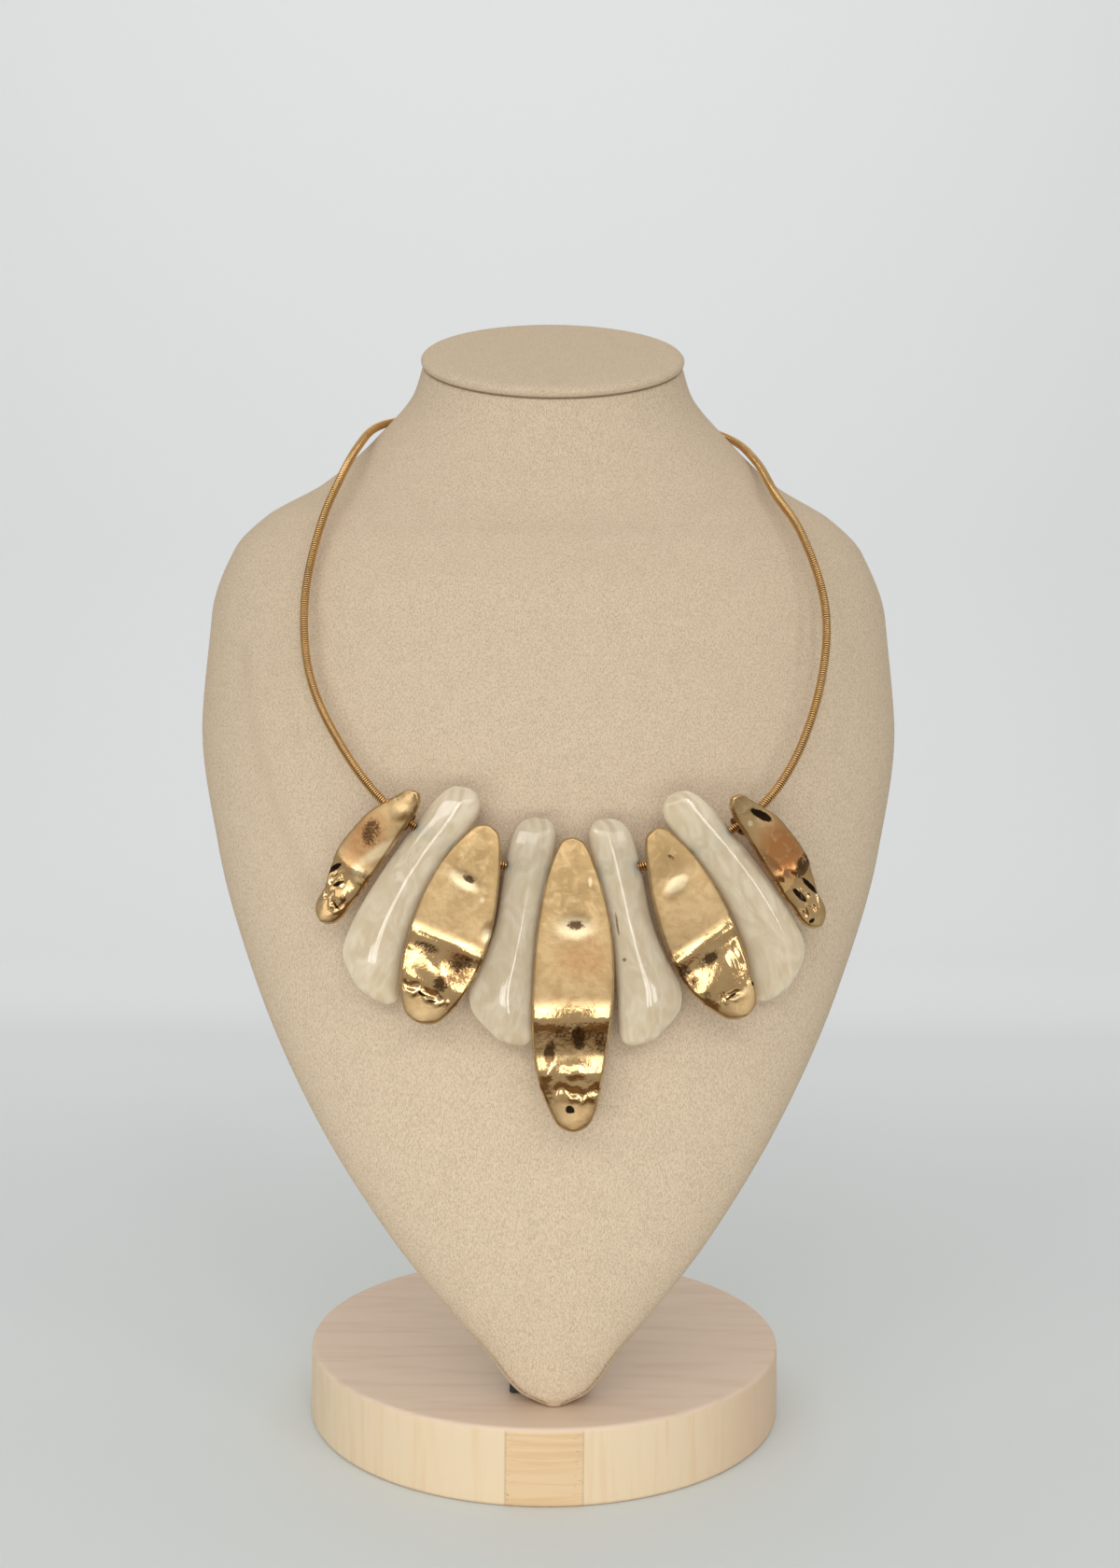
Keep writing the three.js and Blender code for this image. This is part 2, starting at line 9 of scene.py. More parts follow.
import bpy
import numpy as np
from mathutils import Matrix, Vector


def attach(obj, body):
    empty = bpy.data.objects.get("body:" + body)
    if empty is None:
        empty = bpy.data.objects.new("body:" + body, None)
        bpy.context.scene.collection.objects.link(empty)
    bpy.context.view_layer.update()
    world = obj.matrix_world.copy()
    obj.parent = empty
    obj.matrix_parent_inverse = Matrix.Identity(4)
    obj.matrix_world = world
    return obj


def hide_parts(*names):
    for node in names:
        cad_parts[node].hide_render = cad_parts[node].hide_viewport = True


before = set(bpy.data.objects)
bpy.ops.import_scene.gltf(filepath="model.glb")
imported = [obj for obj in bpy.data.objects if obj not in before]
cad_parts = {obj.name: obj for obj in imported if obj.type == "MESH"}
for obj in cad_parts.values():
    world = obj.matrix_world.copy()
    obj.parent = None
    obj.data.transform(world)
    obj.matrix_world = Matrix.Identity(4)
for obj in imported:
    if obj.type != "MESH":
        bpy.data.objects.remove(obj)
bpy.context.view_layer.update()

log = logging.getLogger("necklace")

Array = np.ndarray
Colour = tuple[float, float, float]
Place = tuple[float, float, float]
Pieces = dict[str, bpy.types.Object]

BODY = "root"
MM = 0.001
# Room between two pieces, in mm
GAP = 0.3
# Below this a direction counts as nothing
TINY = 1e-6
# Way of the first station off a tip, in steps
END_STEP = 0.6
# Power of a square metre of panel at a radiance of 1
PANEL_WATTS = 4.0


# Shader tools


class Signal:
    """A node output that can stand in a formula."""

    def __init__(self, tree: bpy.types.NodeTree, socket: bpy.types.NodeSocket) -> None:
        """Keep the socket and the tree that it is in."""
        self.tree = tree
        self.socket = socket

    def plug(self, target: bpy.types.NodeSocket) -> None:
        """Link this output to an input."""
        self.tree.links.new(self.socket, target)

    def _math(self, operation: str, first: "Signal | float", second: "Signal | float") -> "Signal":
        """Add one Math node.

        Args:
            operation: Math node operation.
            first: First operand.
            second: Second operand.

        Returns:
            The node's output.
        """
        node = self.tree.nodes.new("ShaderNodeMath")
        node.operation = operation
        for target, value in zip(node.inputs, (first, second)):
            set_input(target, value)
        return Signal(self.tree, node.outputs[0])

    def __add__(self, other: "Signal | float") -> "Signal":
        """Sum."""
        return self._math("ADD", self, other)

    def __radd__(self, other: float) -> "Signal":
        """Sum with a number on the left."""
        return self._math("ADD", other, self)

    def __sub__(self, other: "Signal | float") -> "Signal":
        """Difference."""
        return self._math("SUBTRACT", self, other)

    def __rsub__(self, other: float) -> "Signal":
        """Difference from a number on the left."""
        return self._math("SUBTRACT", other, self)

    def __mul__(self, other: "Signal | float") -> "Signal":
        """Product."""
        return self._math("MULTIPLY", self, other)

    def __rmul__(self, other: float) -> "Signal":
        """Product with a number on the left."""
        return self._math("MULTIPLY", other, self)

    def __truediv__(self, other: "Signal | float") -> "Signal":
        """Quotient."""
        return self._math("DIVIDE", self, other)

    def __rtruediv__(self, other: float) -> "Signal":
        """Quotient of a number on the left."""
        return self._math("DIVIDE", other, self)

    def __abs__(self) -> "Signal":
        """Size without sign."""
        return self._math("ABSOLUTE", self, 0.0)

    def most(self, other: "Signal | float") -> "Signal":
        """The larger of two values."""
        return self._math("MAXIMUM", self, other)


def set_input(target: bpy.types.NodeSocket, value: "Signal | float | Sequence[float]") -> None:
    """Link or set a node input.

    Args:
        target: The input.
        value: An output to link, a number, or the parts of a vector or colour.
    """
    if isinstance(value, Signal):
        value.plug(target)
    elif isinstance(value, (int, float)):
        target.default_value = value
    else:
        parts = tuple(value)
        target.default_value = parts + (1.0,) * (len(target.default_value) - len(parts))


class Finish:
    """A node material under construction, with a Principled shader at its end."""

    def __init__(self, name: str) -> None:
        """Start an empty material.

        Args:
            name: Name of the material.
        """
        self.material = bpy.data.materials.new(name)
        self.material.use_nodes = True
        self.tree = self.material.node_tree
        self.tree.nodes.clear()
        self.shader = self.tree.nodes.new("ShaderNodeBsdfPrincipled")
        output = self.tree.nodes.new("ShaderNodeOutputMaterial")
        self.tree.links.new(self.shader.outputs[0], output.inputs["Surface"])

    def node(
        self,
        kind: str,
        settings: dict[str, object] | None = None,
        inputs: dict[str, "Signal | float | Sequence[float]"] | None = None,
        output: str = "",
    ) -> Signal:
        """Add a node.

        Args:
            kind: Node type.
            settings: Values of the node's own properties.
            inputs: Values or outputs for its inputs, by identifier or name.
            output: Identifier or name of the wanted output, or the first one if empty.

        Returns:
            The wanted output.
        """
        node = self.tree.nodes.new(kind)
        for key, value in (settings or {}).items():
            setattr(node, key, value)
        for key, value in (inputs or {}).items():
            set_input(self._find(node.inputs, key), value)
        socket = self._find(node.outputs, output) if output else node.outputs[0]
        return Signal(self.tree, socket)

    @staticmethod
    def _find(sockets: bpy.types.bpy_prop_collection, key: str) -> bpy.types.NodeSocket:
        """Find a socket by identifier, then by name."""
        return next((s for s in sockets if s.identifier == key), None) or sockets[key]

    def place(self) -> Signal:
        """Place on the object, in metres."""
        return self.node("ShaderNodeTexCoord", output="Object")

    def axis(self, name: str) -> Signal:
        """One coordinate of the place, in mm."""
        return self.node("ShaderNodeSeparateXYZ", inputs={"Vector": self.place()}, output=name) / MM

    def mark(self, name: str) -> Signal:
        """A named mark that was worked out with the mesh."""
        return self.node("ShaderNodeAttribute", {"attribute_name": name}, output="Fac")

    def own_place(self, name: str) -> Signal:
        """A named place in metres that was worked out with the mesh."""
        return self.node("ShaderNodeAttribute", {"attribute_name": name}, output="Vector")

    def noise(
        self,
        grain: Place,
        detail: float = 2.0,
        warp: float = 0.0,
        offset: float = 0.0,
        place: Signal | None = None,
    ) -> Signal:
        """Cloudy noise from 0 to 1.

        Args:
            grain: Size of the clouds along X, Y and Z, in mm.
            detail: Number of finer octaves.
            warp: How far the noise bends itself.
            offset: Shift of the pattern, in clouds.
            place: Place to read the noise at, or the place on the object if none.

        Returns:
            The noise value.
        """
        scale = [1.0 / (MM * size) for size in grain]
        mapped = self.node(
            "ShaderNodeMapping",
            inputs={"Vector": place or self.place(), "Scale": scale, "Location": (offset, offset, offset)},
        )
        return self.node(
            "ShaderNodeTexNoise",
            inputs={"Vector": mapped, "Scale": 1.0, "Detail": detail, "Distortion": warp},
        )

    def step(self, value: Signal, low: float, high: float) -> Signal:
        """Smooth step from 0 at low to 1 at high.

        Args:
            value: The value.
            low: Where the step starts.
            high: Where it ends.

        Returns:
            The step.
        """
        return self.node(
            "ShaderNodeMapRange",
            {"interpolation_type": "SMOOTHSTEP"},
            {"Value": value, "From Min": low, "From Max": high},
        )

    def blend(self, share: Signal, first: "Signal | Colour", second: "Signal | Colour") -> Signal:
        """Colour between two colours.

        Args:
            share: 0 for the first colour, 1 for the second.
            first: A colour.
            second: Another colour.

        Returns:
            The mixed colour.
        """
        return self.node(
            "ShaderNodeMix",
            {"data_type": "RGBA"},
            {"Factor_Float": share, "A_Color": first, "B_Color": second},
            "Result_Color",
        )

    def bump(self, height: Signal, depth: float) -> Signal:
        """Bumped normal of a height signal whose full range is depth mm."""
        return self.node("ShaderNodeBump", inputs={"Height": height, "Distance": depth * MM})

    def surface(self, inputs: dict[str, "Signal | float | Sequence[float]"]) -> bpy.types.Material:
        """Set the Principled shader's inputs.

        Args:
            inputs: Values or outputs by input name.

        Returns:
            The finished material.
        """
        for key, value in inputs.items():
            set_input(self._find(self.shader.inputs, key), value)
        return self.material


# Finishes


@dataclass(frozen=True)
class Suede:
    """Brushed suede with a short upright nap."""

    pale: Colour = (0.690, 0.553, 0.397)
    deep: Colour = (0.515, 0.400, 0.278)
    seam: Colour = (0.300, 0.205, 0.120)
    speck: Colour = (0.220, 0.140, 0.080)
    nap_grain: Place = (0.26, 0.26, 0.8)
    mottle_grain: Place = (5.0, 5.0, 7.0)
    fine_grain: Place = (0.3, 0.3, 0.3)
    speck_grain: Place = (0.9, 0.9, 0.9)

    def material(self) -> bpy.types.Material:
        """Nap streaks over a soft mottle, with dark stitching where the seam mark is set.

        Returns:
            The material.
        """
        finish = Finish("suede")
        nap = finish.noise(self.nap_grain, 3.0)
        mottle = finish.noise(self.mottle_grain, 2.0)
        grain = finish.noise(self.fine_grain, 1.0, offset=7.0)
        tone = 0.5 + 3.0 * (nap - 0.5) + 1.8 * (grain - 0.5) + 0.25 * (mottle - 0.5)
        colour = finish.blend(finish.step(tone, -0.1, 0.9), self.deep, self.pale)
        fleck = finish.step(finish.noise(self.speck_grain, 1.0, offset=3.0), 0.80, 0.84)
        colour = finish.blend(fleck * 0.6, colour, self.speck)
        stitching = finish.mark("seam") * finish.step(grain, 0.35, 0.6)
        # Painted shade: the suede is darkened along a faint fold line down the chest.
        colour = finish.blend(finish.mark("fold") * 0.4, colour, self.deep)
        colour = finish.blend(stitching, colour, self.seam)
        return finish.surface(
            {
                "Base Color": colour,
                "Roughness": 0.95,
                "Specular IOR Level": 0.12,
                "Sheen Weight": 0.12,
                "Sheen Roughness": 0.5,
                "Sheen Tint": self.pale,
                "Normal": finish.bump(nap + 0.5 * grain, 0.12),
            }
        )


@dataclass(frozen=True)
class Wood:
    """Oiled pale wood: a disc whose rim shows three glued staves."""

    rim_height: float = 18.2
    glue_left: float = -8.8
    glue_right: float = 10.0
    top_pale: Colour = (0.770, 0.600, 0.450)
    top_streak: Colour = (0.720, 0.545, 0.398)
    side_pale: Colour = (0.760, 0.610, 0.415)
    side_streak: Colour = (0.740, 0.555, 0.350)
    side_blush: Colour = (0.720, 0.520, 0.350)
    centre_pale: Colour = (0.740, 0.545, 0.330)
    centre_streak: Colour = (0.690, 0.478, 0.265)
    glue: Colour = (0.250, 0.130, 0.055)
    wander_grain: Place = (3.0, 3.0, 6.0)
    long_grain: Place = (34.0, 4.5, 1.3)
    upright_grain: Place = (1.6, 6.0, 30.0)
    tick_grain: Place = (1.8, 4.0, 0.35)
    glue_edge: float = 0.15
    glue_line: tuple[float, float] = (0.12, 0.4)
    tick_reach: tuple[float, float] = (1.0, 3.2)

    def material(self) -> bpy.types.Material:
        """Long grain on the top and the middle stave, upright streaks on the side staves.

        Returns:
            The material.
        """
        finish = Finish("oiled_wood")
        across = finish.axis("X")
        height = finish.axis("Z")
        wander = 1.2 * (finish.noise(self.wander_grain, 1.0) - 0.5)
        rim = 1.0 - finish.step(height, self.rim_height - 0.4, self.rim_height + 0.5)
        left = self.glue_left
        right = self.glue_right
        soft = self.glue_edge
        centre = finish.step(across + wander * 0.2, left - soft, left + soft)
        centre = centre * (1.0 - finish.step(across, right - soft, right + soft))
        left_line = 1.0 - finish.step(abs(across - left), *self.glue_line)
        right_line = 1.0 - finish.step(abs(across - right), *self.glue_line)
        long_grain = finish.noise(self.long_grain, 4.0, 0.6)
        upright = finish.noise(self.upright_grain, 3.0, 0.4)
        ticks = finish.step(finish.noise(self.tick_grain, 1.0, offset=5.0), 0.64, 0.70)
        near_left = 1.0 - finish.step(abs(across - left), *self.tick_reach)
        near_glue = near_left.most(1.0 - finish.step(abs(across - right), *self.tick_reach))
        top = finish.blend(finish.step(long_grain, 0.42, 0.72), self.top_pale, self.top_streak)
        stave = finish.blend(finish.step(upright, 0.45, 0.75), self.side_pale, self.side_streak)
        pink = finish.step(across + 6.0 * wander, 34.0, 58.0)
        stave = finish.blend(pink * 0.8, stave, self.side_blush)
        middle = finish.blend(finish.step(long_grain, 0.40, 0.68), self.centre_pale, self.centre_streak)
        middle = finish.blend(ticks * near_glue * 0.5, middle, self.glue)
        edge = finish.blend(centre, stave, middle)
        edge = finish.blend(left_line.most(right_line) * 0.22, edge, self.glue)
        return finish.surface(
            {
                "Base Color": finish.blend(rim, top, edge),
                "Roughness": 0.42 + 0.16 * long_grain,
                "Specular IOR Level": 0.35,
                "Normal": finish.bump(long_grain, 0.05),
            }
        )


@dataclass(frozen=True)
class BlackPaint:
    """Satin black paint on steel."""

    colour: Colour = (0.014, 0.014, 0.015)
    skin_grain: Place = (0.7, 0.7, 0.7)

    def material(self) -> bpy.types.Material:
        """Black with a faint orange-peel skin.

        Returns:
            The material.
        """
        finish = Finish("black_paint")
        skin = finish.noise(self.skin_grain, 1.0)
        return finish.surface(
            {
                "Base Color": self.colour,
                "Roughness": 0.34 + 0.12 * skin,
                "Normal": finish.bump(skin, 0.02),
            }
        )


@dataclass(frozen=True)
class WoundGilt:
    """Gilt wire wound over a core, with painted shade between the turns."""

    crest: Colour = (0.905, 0.560, 0.228)
    groove: Colour = (0.110, 0.052, 0.020)
    roughness: float = 0.24
    shade_breakup_grain: Place = (6.0, 6.0, 6.0)

    def material(self) -> bpy.types.Material:
        """Bronze gold on the crests of the turns, with reddish brown painted shade in the grooves.

        Returns:
            The material.
        """
        finish = Finish("wound_gilt")
        shade_breakup = finish.noise(self.shade_breakup_grain, 2.0)
        # Painted shade: the grooves between the turns are painted dark, broken up by noise.
        depth = finish.step(finish.mark("groove") + 0.4 * (shade_breakup - 0.5), 0.3, 1.0)
        return finish.surface(
            {
                "Base Color": finish.blend(depth, self.crest, self.groove),
                "Metallic": 1.0,
                "Roughness": self.roughness,
            }
        )


@dataclass(frozen=True)
class HammeredGilt:
    """Gilt sheet, satin where it was brushed and mirror bright where it was worked."""

    gold: Colour = (0.815, 0.580, 0.300)
    warm: Colour = (0.920, 0.555, 0.225)
    olive: Colour = (0.510, 0.340, 0.155)
    blush: Colour = (0.610, 0.265, 0.095)
    brown: Colour = (0.660, 0.425, 0.195)
    glint: Colour = (1.000, 0.800, 0.490)
    painted_dark_and_patina: Colour = (0.115, 0.058, 0.024)
    tarnish: Colour = (0.030, 0.018, 0.009)
    satin_roughness: float = 0.38
    bright_roughness: float = 0.09
    fine_grain: Place = (0.4, 0.4, 0.4)
    grit_grain: Place = (0.5, 0.5, 0.5)
    cloud_grain: Place = (3.5, 3.5, 3.5)
    smudge_grain: Place = (1.7, 1.7, 1.7)
    brushed_grain: Place = (0.25, 0.25, 1.6)
    peel_grain: Place = (1.4, 1.4, 1.4)

    def material(self) -> bpy.types.Material:
        """Gold whose polish, copper tone and patina follow the plate's own marks, as do its painted dark
        reflections, painted rim shade and painted pale highlights.

        Returns:
            The material.
        """
        finish = Finish("hammered_gilt")
        fine = finish.noise(self.fine_grain, 3.0)
        grit = finish.noise(self.grit_grain, 2.0, 0.4, offset=13.0)
        cloud = finish.noise(self.cloud_grain, 3.0, 0.8)
        smudge = finish.noise(self.smudge_grain, 4.0, 0.5, offset=9.0)
        brushed = finish.noise(self.brushed_grain, 2.0, offset=4.0)
        peel = finish.noise(self.peel_grain, 2.0, 0.3, offset=6.0)
        polish = finish.step(finish.mark("polish") + 0.5 * (cloud - 0.5), 0.25, 0.75)
        colour = finish.blend(finish.step(cloud, 0.36, 0.72) * 0.75, self.gold, self.brown)
        colour = finish.blend(polish * 0.4, colour, self.warm)
        # Painted dark reflection: the gold is darkened towards olive at the plates' tops; on the outer left
        # plate it also tints a smudge.
        colour = finish.blend(finish.mark("olive") * finish.step(cloud, 0.2, 0.6), colour, self.olive)
        colour = finish.blend(finish.mark("blush") * finish.step(smudge, 0.12, 0.5), colour, self.blush)
        # Painted shade: the gold is darkened towards olive along the rims.
        colour = finish.blend(finish.mark("rim") * (0.25 + 0.7 * cloud), colour, self.olive)
        # Painted highlight: the pale glint colour is painted on the gold where the spots mark a highlight.
        pale = finish.step(finish.mark("bright") + 0.5 * (smudge - 0.5) + 0.3 * (fine - 0.5), 0.1, 1.0)
        colour = finish.blend(pale, colour, self.glint)
        # Painted dark reflection: near-black solid patches where the spots mark them, in place of dark
        # surroundings mirrored in the polished hollows.
        solid = finish.step(finish.mark("tarnish") + 0.5 * (smudge - 0.5) + 0.3 * (fine - 0.5), 0.40, 0.60)
        # Painted dark reflection over real patina: dark brown speckled patches where the spots mark them.
        smoke = finish.mark("smoke") * (0.9 * smudge + 1.3 * grit)
        colour = finish.blend(finish.step(smoke, 0.60, 1.10) * 0.92, colour, self.painted_dark_and_patina)
        satin = self.satin_roughness
        return finish.surface(
            {
                "Base Color": finish.blend(solid, colour, self.tarnish),
                "Metallic": 1.0,
                "Roughness": satin - (satin - self.bright_roughness) * polish + 0.12 * (fine - 0.4),
                "Normal": finish.bump((1.0 - 0.6 * polish) * (0.35 * fine + 0.2 * brushed) + peel, 0.045),
            }
        )


@dataclass(frozen=True)
class CreamStone:
    """Polished cream material with pale smoky swirls."""

    cream: Colour = (0.585, 0.478, 0.326)
    smoke: Colour = (0.470, 0.400, 0.300)
    pale: Colour = (0.710, 0.624, 0.476)
    edge: Colour = (0.770, 0.660, 0.482)
    stain: Colour = (0.200, 0.110, 0.050)
    cloud_grain: Place = (6.0, 6.0, 11.0)
    wisp_grain: Place = (1.6, 4.0, 5.0)
    feather_grain: Place = (1.8, 4.0, 5.0)
    fine_grain: Place = (0.4, 0.4, 0.8)

    def material(self) -> bpy.types.Material:
        """Cream with soft pale clouds, smoky swirls and stains where marked, and paler edges that are a
        painted highlight.

        Returns:
            The material.
        """
        finish = Finish("cream_stone")
        place = finish.own_place("local")
        cloud = finish.noise(self.cloud_grain, 2.0, 1.5, place=place)
        wisp = finish.noise(self.wisp_grain, 2.0, 2.2, 2.0, place)
        feather = finish.noise(self.feather_grain, 3.0, 1.8, 5.0, place)
        fine = finish.noise(self.fine_grain, 2.0)
        swirl = finish.step(cloud + 0.15 * (wisp - 0.5), 0.32, 0.74)
        colour = finish.blend(swirl, self.cream, self.pale)
        # Painted highlight: the stone is painted paler towards its edges, where a bright rim line shows.
        colour = finish.blend(finish.mark("edge") * 0.6, colour, self.edge)
        smoke = finish.step(feather, 0.50, 0.74) * (0.05 + 0.65 * finish.mark("smoke"))
        colour = finish.blend(smoke, colour, self.smoke)
        stained = finish.step(finish.mark("stain") + 0.5 * (fine - 0.5), 0.35, 0.65)
        colour = finish.blend(stained * 0.85, colour, self.stain)
        return finish.surface(
            {
                "Base Color": colour,
                "Roughness": 0.06,
                "IOR": 1.6,
                "Subsurface Weight": 0.9,
                "Subsurface Radius": (1.0, 0.85, 0.65),
                "Subsurface Scale": 0.005,
            }
        )


# Curves and meshes


class MonotoneCurve:
    """Smooth curve through table rows that passes none of them by.

    The slope at a row is the harmonic mean of the two slopes next to it, or level where they change
    sign, and a cubic joins each row to the next.
    """

    def __init__(self, places: Sequence[float], values: Sequence[float]) -> None:
        """Work out the slope at every row.

        Args:
            places: Rising places of the rows.
            values: Value at each row.
        """
        self.places = np.asarray(places, float)
        self.values = np.asarray(values, float)
        steep = np.diff(self.values) / np.diff(self.places)
        before = np.concatenate([steep[:1], steep])
        after = np.concatenate([steep, steep[-1:]])
        turning = before * after <= 0
        total = np.where(turning, 1.0, before + after)
        self.slopes = np.where(turning, 0.0, 2.0 * before * after / total)

    def __call__(self, at: Array) -> Array:
        """Value of the curve.

        Args:
            at: Places of any shape.

        Returns:
            Values of the same shape.
        """
        at = np.asarray(at, float)
        row = np.clip(np.searchsorted(self.places, at) - 1, 0, len(self.places) - 2)
        span = self.places[row + 1] - self.places[row]
        t = np.clip((at - self.places[row]) / span, 0.0, 1.0)
        ease = t * t * (3.0 - 2.0 * t)
        leave = self.slopes[row] * span * t * (1.0 - t) ** 2
        reach = self.slopes[row + 1] * span * t * t * (t - 1.0)
        return self.values[row] * (1.0 - ease) + self.values[row + 1] * ease + leave + reach


class RoundSpline:
    """Catmull-Rom spline whose knots are spaced by the square root of the point distances."""

    def __init__(self, points: Array, closed: bool) -> None:
        """Keep the points.

        Args:
            points: Points to pass through.
            closed: Whether the last point joins the first.
        """
        self.points = np.asarray(points, float)
        self.closed = closed

    def __call__(self, share: Array) -> Array:
        """Points on the spline.

        Args:
            share: Shares from 0 to 1, even in the number of points.

        Returns:
            One point for each share.
        """
        knots = self.points
        stretches = len(knots) if self.closed else len(knots) - 1
        at = np.clip(share, 0.0, 1.0) * stretches
        start = np.minimum(at.astype(int), stretches - 1)
        t = (at - start)[..., None]
        if self.closed:
            p0, p1, p2, p3 = (knots[(start + k) % len(knots)] for k in (-1, 0, 1, 2))
        else:
            first = 2.0 * knots[0] - knots[1]
            last = 2.0 * knots[-1] - knots[-2]
            reached = np.concatenate([first[None], knots, last[None]])
            p0, p1, p2, p3 = (reached[start + k] for k in range(4))
        d0, d1, d2 = (
            np.sqrt(np.linalg.norm(b - a, axis=-1, keepdims=True))
            for a, b in ((p0, p1), (p1, p2), (p2, p3))
        )
        leave = d1 * ((p1 - p0) / d0 - (p2 - p0) / (d0 + d1) + (p2 - p1) / d1)
        reach = d1 * ((p2 - p1) / d1 - (p3 - p1) / (d1 + d2) + (p3 - p2) / d2)
        ease = t * t * (3.0 - 2.0 * t)
        return p1 * (1.0 - ease) + p2 * ease + leave * t * (1.0 - t) ** 2 + reach * t * t * (t - 1.0)


def row_curve(rows: Sequence[object], value: str, place: str = "") -> MonotoneCurve:
    """Curve through one field of some table rows.

    Args:
        rows: The rows.
        value: Name of the field.
        place: Name of the field that places the rows, or empty for even steps.

    Returns:
        The curve.
    """
    places = [getattr(row, place) for row in rows] if place else range(len(rows))
    return MonotoneCurve(places, [getattr(row, value) for row in rows])


def turns(count: int) -> Array:
    """Even turns round a full circle."""
    return np.linspace(0.0, 2.0 * np.pi, count, endpoint=False)


def bell(away: Array) -> Array:
    """Bell curve, 1 at 0."""
    return np.exp(-(away**2))


@dataclass
class Shell:
    """One closed surface: its points in mm, its faces and its named marks."""

    points: Array
    faces: list[list[int]]
    marks: dict[str, Array] = field(default_factory=dict)


def band_faces(rings: int, sides: int, wrapped: bool) -> Array:
    """Four-sided faces between rings of points.

    Args:
        rings: Number of rings.
        sides: Points in each ring.
        wrapped: Whether the last ring joins the first.

    Returns:
        Corner numbers of every face.
    """
    corner = np.arange(rings * sides).reshape(rings, sides)
    near = corner if wrapped else corner[:-1]
    far = np.roll(corner, -1, axis=0) if wrapped else corner[1:]
    return np.stack([near, np.roll(near, -1, 1), np.roll(far, -1, 1), far], axis=-1).reshape(-1, 4)


def lofted(rings: Array, ends: tuple[Array, Array], marks: dict[str, Array] | None = None) -> Shell:
    """Closed surface through rings, with a pole at each end.

    Args:
        rings: Points of every ring, as rings by sides by 3.
        ends: Pole before the first ring and pole after the last.
        marks: Named values for the ring points, as rings by sides.

    Returns:
        The surface.
    """
    count, sides, _ = rings.shape
    faces = band_faces(count, sides, False).tolist()
    corner = np.arange(count * sides).reshape(count, sides)
    pole = np.full(sides, count * sides)
    faces += np.stack([pole, np.roll(corner[0], -1), corner[0]], axis=-1).tolist()
    faces += np.stack([pole + 1, corner[-1], np.roll(corner[-1], -1)], axis=-1).tolist()
    named = {
        key: np.concatenate([value.reshape(-1, *value.shape[2:]), value[[0, -1]].mean(axis=1)])
        for key, value in (marks or {}).items()
    }
    return Shell(np.concatenate([rings.reshape(-1, 3), np.stack(ends)]), faces, named)


def looped(rings: Array) -> Shell:
    """Closed surface through rings that come back to the first."""
    count, sides, _ = rings.shape
    return Shell(rings.reshape(-1, 3), band_faces(count, sides, True).tolist())


def unit(vectors: Array) -> Array:
    """Vectors of length 1 along the last axis."""
    return vectors / np.linalg.norm(vectors, axis=-1, keepdims=True)


def to_outline(spots: Array, outline: Array) -> Array:
    """Distance from each spot to the nearest outline point.

    Args:
        spots: Flat places, any shape by 2.
        outline: Outline points, count by 2.

    Returns:
        Distances in the spots' shape.
    """
    flat = spots.reshape(-1, 2)
    squared = (flat**2).sum(1)[:, None] - 2.0 * flat @ outline.T + (outline**2).sum(1)
    return np.sqrt(np.maximum(squared.min(axis=1), 0.0)).reshape(spots.shape[:-1])


def added(name: str, data: bpy.types.ID) -> bpy.types.Object:
    """Put a new object into the scene.

    Args:
        name: Its name.
        data: Its mesh, light or camera.

    Returns:
        The object.
    """
    thing = bpy.data.objects.new(name, data)
    bpy.context.scene.collection.objects.link(thing)
    return thing


def dress(
    name: str,
    shells: Sequence[Shell],
    material: bpy.types.Material,
    node: str,
    crisp: float | None = None,
) -> bpy.types.Object:
    """Make one piece that stands for a CAD node.

    Args:
        name: Name of the piece.
        shells: Its closed surfaces, in mm.
        material: Its finish.
        node: CAD node that it replaces.
        crisp: Angle in degrees above which edges stay sharp, or none for smooth shading all over.

    Returns:
        The piece.
    """
    starts = np.cumsum([0] + [len(shell.points) for shell in shells])
    faces = [[int(start) + c for c in face] for shell, start in zip(shells, starts) for face in shell.faces]
    mesh = bpy.data.meshes.new(name)
    mesh.from_pydata((np.concatenate([s.points for s in shells]) * MM).tolist(), [], faces)
    for key in sorted({key for shell in shells for key in shell.marks}):
        values = np.concatenate([shell.marks.get(key, np.zeros(len(shell.points))) for shell in shells])
        kind, item = ("FLOAT", "value") if values.ndim == 1 else ("FLOAT_VECTOR", "vector")
        layer = mesh.attributes.new(key, kind, "POINT")
        layer.data.foreach_set(item, values.astype(np.float32).ravel())
    mesh.shade_smooth()
    if crisp is not None:
        mesh.set_sharp_from_angle(angle=math.radians(crisp))
    mesh.materials.append(material)
    piece = added(name, mesh)
    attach(piece, BODY)
    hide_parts(node)
    log.info("%s stands for %s: %d faces", name, node, len(faces))
    return piece


def drill(piece: bpy.types.Object, bore: Shell) -> None:
    """Take a closed bore out of a piece, which keeps its marks. The bore's wall stays flat shaded.

    Args:
        piece: The piece.
        bore: The bore's surface, in mm.
    """
    whole = piece.data
    hollow = bpy.data.meshes.new("bore")
    hollow.from_pydata((bore.points * MM).tolist(), [], bore.faces)
    cutter = added("bore", hollow)
    cut = piece.modifiers.new("bore", "BOOLEAN")
    cut.operation = "DIFFERENCE"
    cut.solver = "EXACT"
    cut.object = cutter
    seen = piece.evaluated_get(bpy.context.evaluated_depsgraph_get())
    drilled = bpy.data.meshes.new_from_object(seen)
    piece.modifiers.clear()
    piece.data = drilled
    bpy.data.objects.remove(cutter)
    bpy.data.meshes.remove(hollow)
    bpy.data.meshes.remove(whole)
    drilled.name = piece.name


# Sub-assemblies


@dataclass(frozen=True)
class BustSection:
    """One level slice of the bust, in mm; lean is in degrees and flat squares the back."""

    height: float
    half: float
    mid: float
    shift: float
    front: float
    back: float
    lean: float
    flat: float


@dataclass(frozen=True)
class CapRow:
    """One point of the cap's profile: share of its radius and rise in mm."""

    share: float
    rise: float


